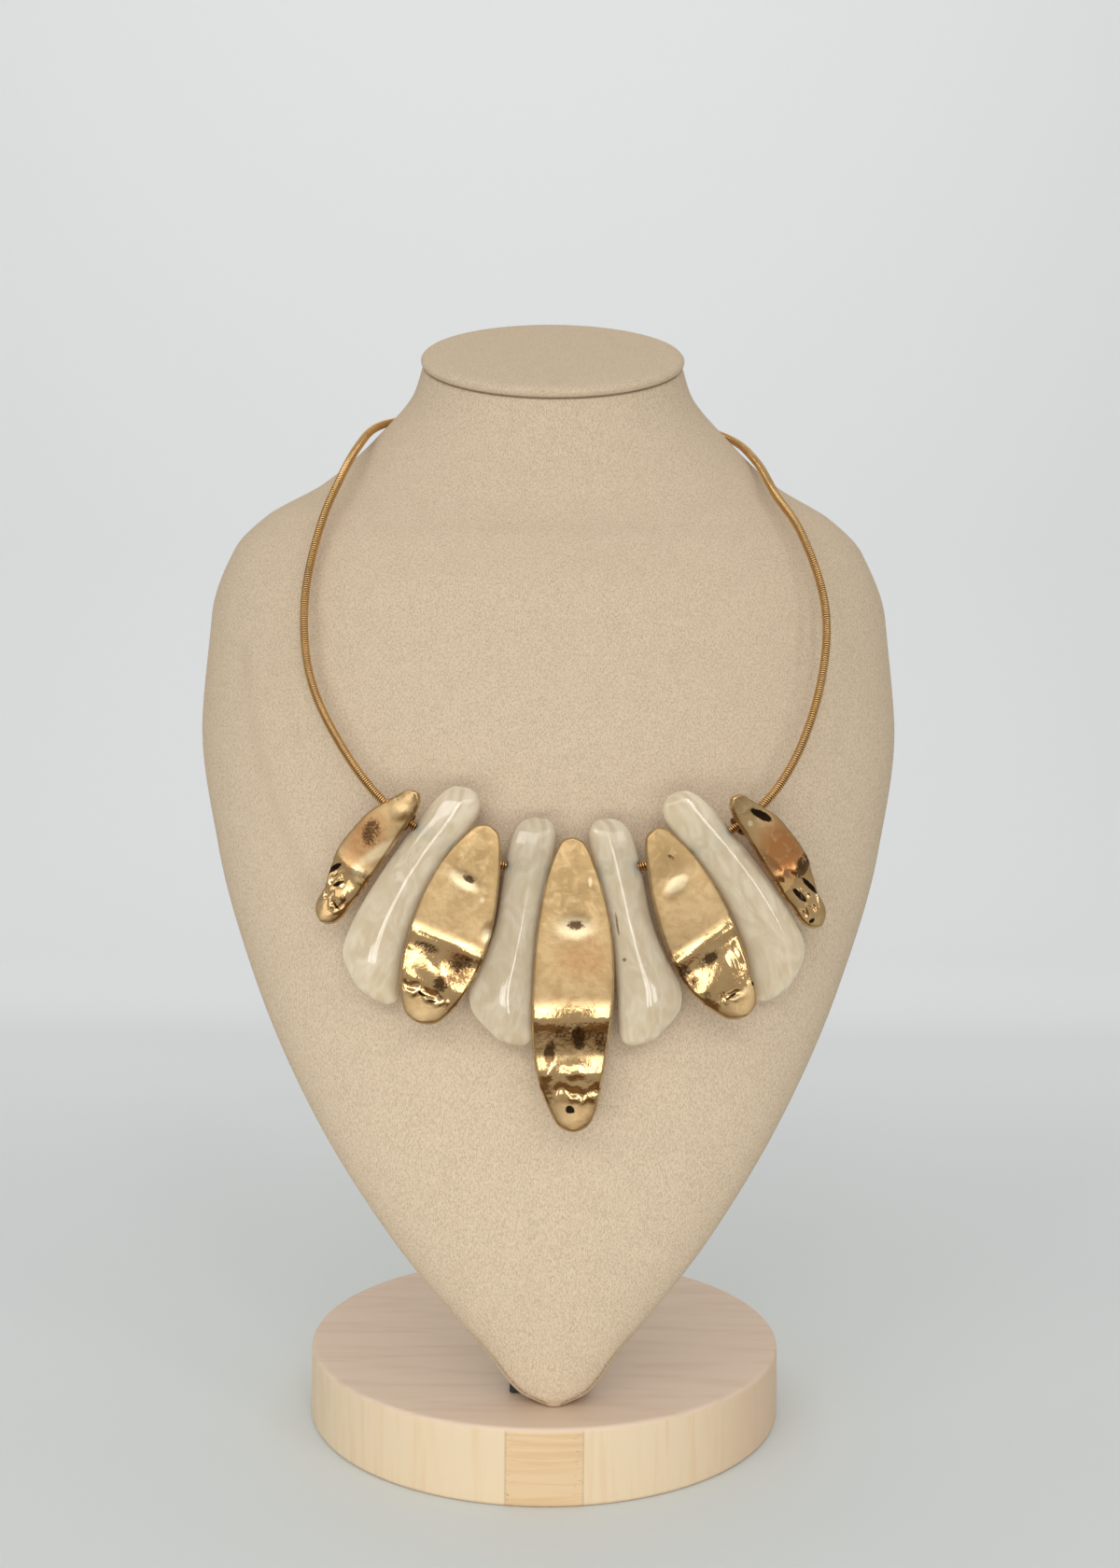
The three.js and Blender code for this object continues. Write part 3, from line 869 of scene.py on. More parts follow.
@dataclass(frozen=True)
class NeckBust:
    """Padded neck bust under suede, with a flat cap on the neck."""

    sections: tuple[BustSection, ...] = (
        BustSection(19.4, 3.5, -49.5, 2.8, 3.2, 3.5, 0.0, 2.2),
        BustSection(22.0, 9.0, -49.0, 2.7, 5.0, 5.5, 0.0, 2.6),
        BustSection(31.0, 16.9, -47.0, 2.3, 7.6, 8.0, 0.0, 3.0),
        BustSection(57.0, 40.0, -41.0, 1.4, 15.0, 14.0, 0.0, 3.2),
        BustSection(88.0, 62.0, -30.0, 0.6, 25.0, 17.3, 0.0, 3.2),
        BustSection(120.0, 79.2, -16.0, 0.2, 35.0, 18.0, 0.0, 3.2),
        BustSection(155.0, 92.4, -2.0, 0.0, 42.0, 20.0, 0.0, 3.2),
        BustSection(193.0, 100.1, 12.0, -0.4, 47.0, 23.6, 0.0, 3.2),
        BustSection(222.0, 98.7, 17.0, -0.6, 44.0, 27.0, 0.0, 3.0),
        BustSection(242.0, 92.0, 17.0, -0.8, 37.5, 29.5, 4.0, 2.6),
        BustSection(252.0, 82.8, 17.0, -0.8, 34.0, 30.0, 10.0, 2.3),
        BustSection(262.0, 66.2, 17.0, -0.4, 32.0, 30.0, 16.0, 2.1),
        BustSection(276.0, 51.0, 17.0, 0.0, 31.5, 30.5, 24.0, 2.0),
        BustSection(288.0, 41.0, 17.0, 0.0, 32.8, 32.0, 29.5, 2.0),
        BustSection(297.0, 38.0, 16.5, 0.0, 33.5, 33.5, 31.5, 2.0),
    )
    rings: int = 200
    sides: int = 224
    slope_step: float = 0.5
    cap_half_width: float = 38.6
    cap_half_depth: float = 34.2
    cap_segments: int = 160
    cap_steps: int = 48
    cap_profile: tuple[CapRow, ...] = (
        CapRow(0.97, 0.0),
        CapRow(0.995, 0.6),
        CapRow(1.0, 1.5),
        CapRow(0.985, 2.4),
        CapRow(0.95, 3.0),
        CapRow(0.8, 3.5),
        CapRow(0.45, 3.9),
        CapRow(0.1, 4.0),
    )
    cap_rise: float = 4.0
    seam_inset: float = 1.5
    seam_width: float = 0.45
    seam_top: float = 40.0
    seam_margin: float = 10.0
    seam_fade: float = 12.0
    cap_seam: float = 0.5
    fold: tuple[tuple[float, float], ...] = (
        (-85.0, 212.0),
        (-83.5, 204.0),
        (-79.0, 184.0),
        (-71.0, 164.0),
        (-60.5, 143.0),
    )
    fold_samples: int = 120
    fold_width: float = 1.7
    fill: float = 1.0

    def column(self, name: str, height: Array) -> Array:
        """Value of a section column at heights between the sections."""
        return row_curve(self.sections, name, "height")(height)

    def heights(self) -> Array:
        """Heights of the rings, even along the sections."""
        spread = np.linspace(0, len(self.sections) - 1, self.rings)
        return row_curve(self.sections, "height")(spread)

    def surface(self, height: Array, angle: Array) -> Array:
        """Points of the bust: half an ellipse in front, half a squarer oval behind, leaning back.

        Args:
            height: Height of each point's slice.
            angle: Turn around the slice, from the viewer's right by way of the back.

        Returns:
            The points.
        """
        side = np.cos(angle)
        deep = np.sin(angle)
        power = 2.0 / self.column("flat", height)
        rear = deep > 0
        across = np.where(rear, np.sign(side) * np.abs(side) ** power, side)
        reach = np.where(
            rear,
            self.column("back", height) * np.abs(deep) ** power,
            self.column("front", height) * deep,
        )
        lean = np.radians(self.column("lean", height))
        return np.stack(
            [
                self.column("shift", height) + self.column("half", height) * across,
                self.column("mid", height) + reach * np.cos(lean),
                height + reach * np.sin(lean),
            ],
            axis=-1,
        )

    def chest_depth(self, x: float, z: float) -> float:
        """Y of the chest's front at a place seen from the front."""
        share = (x - self.column("shift", z)) / self.column("half", z)
        return float(self.column("mid", z) - self.column("front", z) * np.sqrt(max(0.0, 1.0 - share**2)))

    def chest_normal(self, x: float, z: float) -> Array:
        """Outward direction of the chest at a place seen from the front.

        Args:
            x: Its place to the viewer's right.
            z: Its height.

        Returns:
            The unit direction.
        """
        step = self.slope_step
        dx = (self.chest_depth(x + step, z) - self.chest_depth(x - step, z)) / (2 * step)
        dz = (self.chest_depth(x, z + step) - self.chest_depth(x, z - step)) / (2 * step)
        return unit(np.array([dx, -1.0, dz]))

    def seam_marks(self, rings: Array) -> Array:
        """Mark of the stitched seam, a line a little inside the outline of the tip.

        Args:
            rings: Ring points of the bust.

        Returns:
            1 on the seam and 0 away from it.
        """
        outline = np.concatenate([rings[:, 0, ::2], rings[::-1, self.sides // 2, ::2]])
        low = outline[outline[:, 1] < self.seam_top + self.seam_margin]
        inset = to_outline(rings[..., ::2], low)
        line = bell((inset - self.seam_inset) / self.seam_width)
        fade = np.clip((self.seam_top - rings[..., 2]) / self.seam_fade, 0.0, 1.0)
        return line * fade * self.in_front()

    def painted_fold_shade_marks(self, rings: Array) -> Array:
        """Mark of the painted shade along a faint fold down the chest, 1 on its line and 0 away from it."""
        line = RoundSpline(np.array(self.fold), False)(np.linspace(0.0, 1.0, self.fold_samples))
        return bell(to_outline(rings[..., ::2], line) / self.fold_width) * self.in_front()

    def in_front(self) -> Array:
        """Whether each point of a slice is on its front half."""
        return np.sin(turns(self.sides))[None] < 0

    def build_form(self, suede: bpy.types.Material) -> bpy.types.Object:
        """Build the padded form.

        Args:
            suede: Its finish.

        Returns:
            The piece.
        """
        height = self.heights()
        rings = self.surface(height[:, None], turns(self.sides)[None])
        first, last = (
            np.array([self.column("shift", h), self.column("mid", h), h]) for h in (height[0], height[-1])
        )
        marks = {"seam": self.seam_marks(rings), "fold": self.painted_fold_shade_marks(rings)}
        shell = lofted(rings, (first, last), marks)
        piece = dress("suede_bust_form", [shell], suede, "bust_form")
        return piece

    def build_cap(self, suede: bpy.types.Material) -> bpy.types.Object:
        """Build the cap: its profile turned round an oval, tilted to the neck's slope.

        Args:
            suede: Its finish.

        Returns:
            The piece.
        """
        spread = np.linspace(0, len(self.cap_profile) - 1, self.cap_steps)
        share = row_curve(self.cap_profile, "share")(spread)[:, None]
        rise = row_curve(self.cap_profile, "rise")(spread)[:, None]
        angle = turns(self.cap_segments)[None]
        top = self.sections[-1]
        tilt = math.radians(top.lean)
        toward = np.array([0.0, math.cos(tilt), math.sin(tilt)])
        normal = np.array([0.0, -math.sin(tilt), math.cos(tilt)])
        seat = np.array([0.0, top.mid, top.height]) + GAP * normal
        rings = (
            seat
            + (self.cap_half_width * share * np.cos(angle))[..., None] * np.array([1.0, 0.0, 0.0])
            + (self.cap_half_depth * share * np.sin(angle))[..., None] * toward
            + (rise + 0.0 * angle)[..., None] * normal
        )
        under = bell(rise / self.cap_seam) + 0.0 * angle
        shell = lofted(rings, (seat, seat + self.cap_rise * normal), {"seam": under})
        piece = dress("suede_neck_cap", [shell], suede, "neck_cap")
        return piece


@dataclass(frozen=True)
class Foot:
    """Wooden disc and the steel angle that holds the bust on it."""

    disc_diameter: float = 130.0
    disc_height: float = 19.0
    disc_edge: float = 1.2
    disc_segments: int = 224
    edge_steps: int = 7
    wall_steps: int = 8
    flat_steps: int = 12
    inner_share: float = 0.15
    bracket_width: float = 20.0
    bracket_shift: float = 1.5
    bracket_thickness: float = 2.0
    bracket_foot: float = 34.0
    bracket_top: float = 74.0
    bracket_samples: int = 60
    bevel: float = 0.3
    bevel_segments: int = 3
    crisp: float = 30.0

    def disc_profile(self) -> Array:
        """Radius and height from the middle of the underside round the edge arcs to the top.

        Returns:
            Points as radius and height.
        """
        radius = self.disc_diameter / 2
        turn = np.linspace(0.0, np.pi / 2, self.edge_steps)
        inner = np.linspace(self.inner_share, 1.0, self.flat_steps)[:-1] * (radius - self.disc_edge)
        low = np.stack([np.sin(turn), 1.0 - np.cos(turn)], axis=-1) * self.disc_edge
        high = np.stack([np.cos(turn), np.sin(turn)], axis=-1) * self.disc_edge
        levels = np.linspace(self.disc_edge, self.disc_height - self.disc_edge, self.wall_steps)
        wall = np.array([[radius, level] for level in levels])
        return np.concatenate(
            [
                np.stack([inner, 0.0 * inner], axis=-1),
                low + [radius - self.disc_edge, 0.0],
                wall[1:-1],
                high + [radius - self.disc_edge, self.disc_height - self.disc_edge],
                np.stack([inner[::-1], 0.0 * inner + self.disc_height], axis=-1),
            ]
        )

    def build_disc(self, wood: bpy.types.Material) -> bpy.types.Object:
        """Build the disc: its profile turned round the Z axis.

        Args:
            wood: Its finish.

        Returns:
            The piece.
        """
        profile = self.disc_profile()[:, None]
        angle = turns(self.disc_segments)[None]
        radius = profile[..., 0]
        level = profile[..., 1] + 0.0 * angle
        rings = np.stack([radius * np.cos(angle), radius * np.sin(angle), level], axis=-1)
        ends = (np.zeros(3), np.array([0.0, 0.0, self.disc_height]))
        return dress("wood_base_disc", [lofted(rings, ends)], wood, "base_disc")

    def bracket_profile(self, bust: NeckBust) -> Array:
        """Side view of the angle: foot along the disc, leg along the back of the bust.

        Args:
            bust: The bust that it follows.

        Returns:
            Corner points as Y and Z.
        """
        floor = self.disc_height + GAP
        heights = np.linspace(floor, self.bracket_top, self.bracket_samples)
        back = bust.column("mid", heights) + bust.column("back", heights)
        lean = (back[-1] - back[0]) / (heights[-1] - heights[0])
        clear = (back - lean * (heights - floor)).max() + GAP
        depth = self.bracket_thickness * math.hypot(1.0, lean)
        inside = floor + self.bracket_thickness
        end = clear + self.bracket_foot
        top = clear + lean * (self.bracket_top - floor)
        bend = clear + lean * self.bracket_thickness + depth
        return np.array(
            [
                [clear, floor],
                [end, floor],
                [end, inside],
                [bend, inside],
                [top + depth, self.bracket_top],
                [top, self.bracket_top],
            ]
        )

    def build_bracket(self, bust: NeckBust, paint: bpy.types.Material) -> bpy.types.Object:
        """Build the angle: its side view carried across its width, with small bevels.

        Args:
            bust: The bust that it holds.
            paint: Its finish.

        Returns:
            The piece.
        """
        side = self.bracket_profile(bust)
        half = self.bracket_width / 2
        across = self.bracket_shift + np.array([-half, half])
        points = np.concatenate([np.column_stack([np.full(len(side), x), side]) for x in across])
        count = len(side)
        walls = [[i, (i + 1) % count, (i + 1) % count + count, i + count] for i in range(count)]
        near = list(range(count))[::-1]
        far = list(range(count, 2 * count))
        shell = Shell(points, walls + [near, far])
        piece = dress("steel_base_bracket", [shell], paint, "base_bracket", self.crisp)
        rounding = piece.modifiers.new("rounded_edges", "BEVEL")
        rounding.width = self.bevel * MM
        rounding.segments = self.bevel_segments
        return piece


@dataclass(frozen=True)
class Collar:
    """Spring wire wound with gilt, closed behind the neck by a barrel clasp."""

    route: tuple[Place, ...] = (
        (-3.6, 49.6, 292.0),
        (-24.0, 47.0, 290.5),
        (-43.0, 35.8, 285.5),
        (-52.0, 18.0, 278.5),
        (-55.5, 4.0, 269.5),
        (-58.8, -5.5, 259.0),
        (-62.9, -13.0, 245.0),
        (-66.0, -20.5, 223.5),
        (-63.6, -27.5, 202.8),
        (-54.8, -35.7, 185.0),
        (-40.5, -43.5, 167.8),
        (-19.9, -48.5, 155.8),
        (7.0, -50.0, 151.2),
        (29.2, -48.6, 154.6),
        (43.0, -46.0, 160.3),
        (54.6, -42.0, 168.4),
        (63.6, -37.2, 180.2),
        (71.8, -29.0, 201.3),
        (74.1, -21.0, 222.0),
        (68.7, -12.5, 243.5),
        (63.0, -4.5, 255.1),
        (59.3, 10.0, 267.5),
        (53.0, 30.0, 279.0),
        (33.0, 45.5, 288.5),
        (9.6, 49.6, 292.0),
    )
    diameter: float = 2.3
    rib_pitch: float = 0.62
    rib_depth: float = 0.16
    rib_crest: float = 0.04
    rings_per_rib: int = 6
    sides: int = 12
    bore_rings: int = 33
    bore_sides: int = 32
    loop_normal: Place = (0.0, 0.815, -0.578)
    front_top: float = 200.0
    samples: int = 6000
    slope_step: float = 0.2
    clasp_middle: Place = (3.0, 49.6, 292.0)
    clasp_length: float = 12.2
    clasp_segments: int = 48
    clasp_crisp: float = 35.0
    clasp_end: tuple[tuple[float, float], ...] = (
        (-0.38, 1.35),
        (-0.49, 1.4),
        (-0.5, 1.7),
        (-0.5, 2.2),
        (-0.47, 2.5),
        (-0.38, 2.5),
        (-0.36, 2.25),
        (-0.34, 2.25),
        (-0.32, 2.45),
    )

    def path(self) -> RoundSpline:
        """Middle line of the wire."""
        return RoundSpline(np.array(self.route), False)

    def measured(self) -> tuple[Array, Array, Array]:
        """Close samples of the wire's middle line.

        Returns:
            Their shares, their points and their ways along the wire.
        """
        share = np.linspace(0.0, 1.0, self.samples)
        points = self.path()(share)
        run = np.concatenate([[0.0], np.cumsum(np.linalg.norm(np.diff(points, axis=0), axis=1))])
        return share, points, run

    def front_at(self, x: float) -> tuple[Array, Array]:
        """Point and direction of the wire where its front arc crosses a plane of constant X.

        Args:
            x: The plane's X.

        Returns:
            The point and the unit direction towards the viewer's right.
        """
        share, points, _ = self.measured()
        low = points[:, 2] < self.front_top
        at = np.interp(x, points[low, 0], share[low])
        step = self.slope_step / self.samples
        before, here, after = self.path()(np.array([at - step, at, at + step]))
        return here, unit(after - before)

    def tube(self, middle: Array, radius: Array) -> Array:
        """Rings round a middle line, square to it.

        Args:
            middle: Points of the middle line.
            radius: Radius at each point and angle.

        Returns:
            Points of every ring.
        """
        tangent = unit(np.gradient(middle, axis=0))
        side = unit(np.cross(tangent, np.array(self.loop_normal)))
        lift = np.cross(side, tangent)
        angle = turns(radius.shape[1])[None]
        return (
            middle[:, None]
            + (radius * np.cos(angle))[..., None] * lift[:, None]
            + (radius * np.sin(angle))[..., None] * side[:, None]
        )

    def bore(self, x: float, radius: float, reach: float) -> Shell:
        """Bore that lets the wire's front arc through a piece.

        Args:
            x: X of the piece's crossing.
            radius: Radius of the bore.
            reach: Way along the wire to each side of the crossing.

        Returns:
            A plain tube with closed ends.
        """
        share, points, run = self.measured()
        low = points[:, 2] < self.front_top
        at = np.interp(x, points[low, 0], run[low])
        along = np.linspace(at - reach, at + reach, self.bore_rings)
        middle = self.path()(np.interp(along, run, share))
        rings = self.tube(middle, np.full((self.bore_rings, self.bore_sides), radius))
        return lofted(rings, (middle[0], middle[-1]))

    def build_wire(self, gilt: bpy.types.Material) -> bpy.types.Object:
        """Build the wire: a tube whose radius swells along a helix, once in each turn of the winding.

        Args:
            gilt: Its finish.

        Returns:
            The piece.
        """
        share, _, run = self.measured()
        count = int(run[-1] / self.rib_pitch * self.rings_per_rib)
        along = np.linspace(0.0, run[-1], count)
        middle = self.path()(np.interp(along, run, share))
        phase = 2.0 * np.pi * along[:, None] / self.rib_pitch - turns(self.sides)[None]
        groove = 0.5 - 0.5 * np.cos(phase)
        rings = self.tube(middle, self.diameter / 2 + self.rib_crest - self.rib_depth * groove)
        shell = lofted(rings, (middle[0], middle[-1]), {"groove": groove})
        log.info("wound wire: %.0f mm long", run[-1])
        return dress("wound_collar_wire", [shell], gilt, "collar_wire")

    def build_clasp(self, gilt: bpy.types.Material) -> bpy.types.Object:
        """Build the clasp: a profile turned round the X axis, alike at both ends and hollow in them.

        Args:
            gilt: Its finish.

        Returns:
            The piece.
        """
        end = np.array(self.clasp_end)
        profile = np.concatenate([end, end[::-1] * [-1.0, 1.0]])[:, None]
        angle = turns(self.clasp_segments)[None]
        middle = np.array(self.clasp_middle)
        rings = np.stack(
            [
                profile[..., 0] * self.clasp_length + 0.0 * angle,
                profile[..., 1] * np.cos(angle),
                profile[..., 1] * np.sin(angle),
            ],
            axis=-1,
        )
        reach = np.array([-end[0, 0] * self.clasp_length, 0.0, 0.0])
        shell = lofted(rings + middle, (middle - reach, middle + reach))
        return dress("barrel_collar_clasp", [shell], gilt, "collar_clasp", self.clasp_crisp)


class Side(IntEnum):
    """Side of the collar, as seen by a viewer, with the sign of its own outward direction."""

    LEFT = 1
    RIGHT = -1


@dataclass(frozen=True)
class EdgeRow:
    """Half widths of a hanging piece at a place along it, in mm from the wire."""

    along: float
    outer: float
    inner: float


@dataclass(frozen=True)
class Outline:
    """Outline of a hanging piece, from its top tip to its bottom tip."""

    top: tuple[float, float]
    rows: tuple[EdgeRow, ...]
    bottom: tuple[float, float]
    shoulder: tuple[float, float] = (0.66, 0.31)

    @property
    def length(self) -> float:
        """Length from tip to tip."""
        return self.bottom[0] - self.top[0]

    def share(self, spots: Array) -> Array:
        """Share of the length, from the top tip, at flat places."""
        return (spots[..., 1] - self.top[0]) / self.length

    def edges(self, side: Side, count: int) -> tuple[Array, Array]:
        """Points of the two edges at the same stations along the outline.

        Args:
            side: Side of the collar.
            count: Number of stations.

        Returns:
            The viewer's left edge and the right one.
        """
        line = self.spline(side)
        half = stations(count) / 2.0
        return line(half), line(1.0 - half)

    def slimmed(self, share: float, toe: EdgeRow, lean: float) -> "Outline":
        """The same outline with narrower outer half widths and another toe.

        Args:
            share: Share of the outer half widths that is kept.
            toe: The last row.
            lean: Way of the bottom tip towards the collar's middle, in mm.

        Returns:
            The other outline.
        """
        rows = tuple(EdgeRow(row.along, row.outer * share, row.inner) for row in self.rows[:-1])
        return Outline(self.top, (*rows, toe), (self.bottom[0], lean))

    def spline(self, side: Side) -> RoundSpline:
        """Closed line round the outline, from the top tip by the viewer's left to the bottom and back.

        Args:
            side: Side of the collar, which the outer half widths face.

        Returns:
            The line, as places to the viewer's left and down.
        """
        outer = [(side * row.outer, row.along) for row in self.rows]
        inner = [(-side * row.inner, row.along) for row in self.rows]
        first, second = (outer, inner) if side is Side.LEFT else (inner, outer)
        top = np.array((-side * self.top[1], self.top[0]))
        bottom = np.array((-side * self.bottom[1], self.bottom[0]))
        left = np.array([self._shoulder(top, first[0]), *first, self._shoulder(bottom, first[-1])])
        right = np.array([self._shoulder(top, second[0]), *second, self._shoulder(bottom, second[-1])])
        return RoundSpline(np.concatenate([[top], left, [bottom], right[::-1]]), True)

    def _shoulder(self, tip: Array, row: tuple[float, float]) -> Array:
        """Point halfway round the tip, between an ellipse and a parabola to the row next to it."""
        return tip + (np.array(row) - tip) * np.array(self.shoulder)


@dataclass(frozen=True)
class Hanging:
    """Where a piece crosses the wire and where its foot hangs over the chest, in mm."""

    cross: float
    foot_x: float
    foot_z: float
    reach: float

    @property
    def side(self) -> Side:
        """Side of the collar."""
        return Side.LEFT if self.cross < 0 else Side.RIGHT


@dataclass(frozen=True)
class HangingFrame:
    """Place of a hanging piece: to the viewer's left, down and out from the wire."""

    origin: Array
    across: Array
    down: Array
    out: Array

    @classmethod
    def of(cls, hang: Hanging, stand: float, bust: NeckBust, collar: Collar) -> "HangingFrame":
        """Hang a piece on the wire with its foot over the chest.

        Args:
            hang: Where it hangs.
            stand: Distance of its middle face from the wire.
            bust: The bust under it.
            collar: The wire that carries it.

        Returns:
            The frame.
        """
        hook, _ = collar.front_at(hang.cross)
        out = bust.chest_normal((hook[0] + hang.foot_x) / 2, (hook[2] + hang.foot_z) / 2)
        lifted = hook + stand * out
        toe = np.array(
            [hang.foot_x, bust.chest_depth(hang.foot_x, hang.foot_z) - hang.reach, hang.foot_z]
        )
        down = unit(toe - lifted)
        out = unit(out - (out @ down) * down)
        return cls(lifted, np.cross(down, out), down, out)

    def world(self, spots: Array, height: Array) -> Array:
        """Points of the shared frame from flat places and heights out of them.

        Args:
            spots: Places to the viewer's left and down.
            height: Heights out of them.

        Returns:
            The points.
        """
        return (
            self.origin
            + spots[..., :1] * self.across
            + spots[..., 1:] * self.down
            + height[..., None] * self.out
        )

    def tips(self, outline: Outline, side: Side, lifts: tuple[float, float]) -> tuple[Array, Array]:
        """Tips of a hanging piece.

        Args:
            outline: The piece's outline.
            side: Side of the collar.
            lifts: Heights of the top and the bottom tip.

        Returns:
            The top tip and the bottom tip.
        """
        first, last = (
            self.world(np.array([-side * shift, along]), np.array(lift))
            for (along, shift), lift in zip((outline.top, outline.bottom), lifts)
        )
        return first, last

    def local(self, points: Array) -> Array:
        """Places of points of the shared frame across, out of and down the piece."""
        return (points - self.origin) @ np.stack([self.across, self.out, self.down], axis=-1)


def stations(count: int) -> Array:
    """Shares along a piece that stand closer together at its rounded ends, a short step off its tips."""
    even = (np.arange(count) + END_STEP) / (count - 1 + 2.0 * END_STEP)
    return even - np.sin(2.0 * np.pi * even) / (4.0 * np.pi)


class Touch(Enum):
    """Kinds of spot on a face: dents, polish, copper tone and patina of the gold, stains and smoky swirls
    in the stones, and painted dark reflections, painted shade and painted highlights on the plates.
    """

    DENT = "dent"
    STAIN_AND_DARK_REFLECTION = "tarnish"
    SMOKE = "smoke"
    OLIVE = "olive"
    BLUSH = "blush"
    POLISH = "polish"
    PAINTED_HIGHLIGHT = "bright"


@dataclass(frozen=True)
class Spot:
    """An oval spot on a face.

    The share runs from the top tip to the bottom, and right from -1 at the viewer's left edge to 1.
    Length and width are half sizes in mm, turn is anticlockwise in degrees, and strength is mm for a
    dent and a share for anything else.
    """

    touch: Touch
    share: float
    right: float
    length: float
    width: float
    turn: float
    strength: float


@dataclass(frozen=True)
class Crease:
    """A raised or sunken line across a plate.

    It runs from start to stop across the face, tilts and waves along its way, and has a half width and
    a height in mm. Its wave carries a finer ripple, and its height swells and sinks on the way.
    """

    share: float
    tilt: float
    wave: float
    waves: float
    start: float
    stop: float
    width: float
    height: float
    ripple: float = 0.6
    ripple_rate: float = 2.3
    ripple_phase: float = 2.0
    swell: float = 0.35
    swell_rate: float = 1.7
    swell_phase: float = 0.8
    fade: float = 0.25

    def relief(self, share: Array, right: Array, length: float) -> Array:
        """Height of the crease: a bell curve across its line, which fades out at both ends.

        Args:
            share: Shares of the places along the plate.
            right: Ways of the places to the viewer's right.
            length: Length of the plate.

        Returns:
            Heights in mm.
        """
        turn = np.pi * self.waves * right
        ripple = self.ripple * np.sin(self.ripple_rate * turn + self.ripple_phase)
        line = self.share + self.tilt * right + self.wave * (np.sin(turn) + ripple)
        away = (share - line) * length / self.width
        begun = np.clip((right - self.start) / self.fade, 0.0, 1.0)
        remaining = np.clip((self.stop - right) / self.fade, 0.0, 1.0)
        swell = 1.0 - self.swell + self.swell * np.sin(self.swell_rate * turn + self.swell_phase)
        return self.height * swell * bell(away) * (begun * remaining)


@dataclass(frozen=True)
class ReliefRow:
    """Height and polish of a plate's middle line at a share of its length."""

    share: float
    lift: float
    polish: float


@dataclass(frozen=True)
class FaceGrid:
    """Grid of flat places over a hanging piece's outline."""

    spots: Array
    share: Array
    across: Array
    high: Array
    low: Array
    length: float
    spot_reach: float = 1.5

    def oval(self, spot: Spot) -> Array:
        """Distance from a spot's middle, 1 on its edge.

        Args:
            spot: The spot.

        Returns:
            Distances over the grid.
        """
        row = int(np.argmin(np.abs(self.share.mean(axis=1) - spot.share)))
        middle = self.low[row] + (self.high[row] - self.low[row]) * (1.0 - spot.right) / 2.0
        away = self.spots - middle
        right = -away[..., 0]
        up = middle[1] - self.spots[..., 1]
        turn = math.radians(spot.turn)
        wide = right * math.cos(turn) + up * math.sin(turn)
        tall = up * math.cos(turn) - right * math.sin(turn)
        return np.sqrt((wide / spot.width) ** 2 + (tall / spot.length) ** 2)

    def mark(self, spots: Sequence[Spot], touch: Touch) -> Array:
        """Strongest mark of one kind over the grid, soft at the edges of its spots.

        Args:
            spots: The spots.
            touch: The kind.

        Returns:
            Values over the grid.
        """
        total = np.zeros(self.share.shape)
        for spot in spots:
            if spot.touch is touch:
                inside = np.clip(self.spot_reach - self.oval(spot), 0.0, 1.0)
                total = np.maximum(total, spot.strength * inside)
        return total


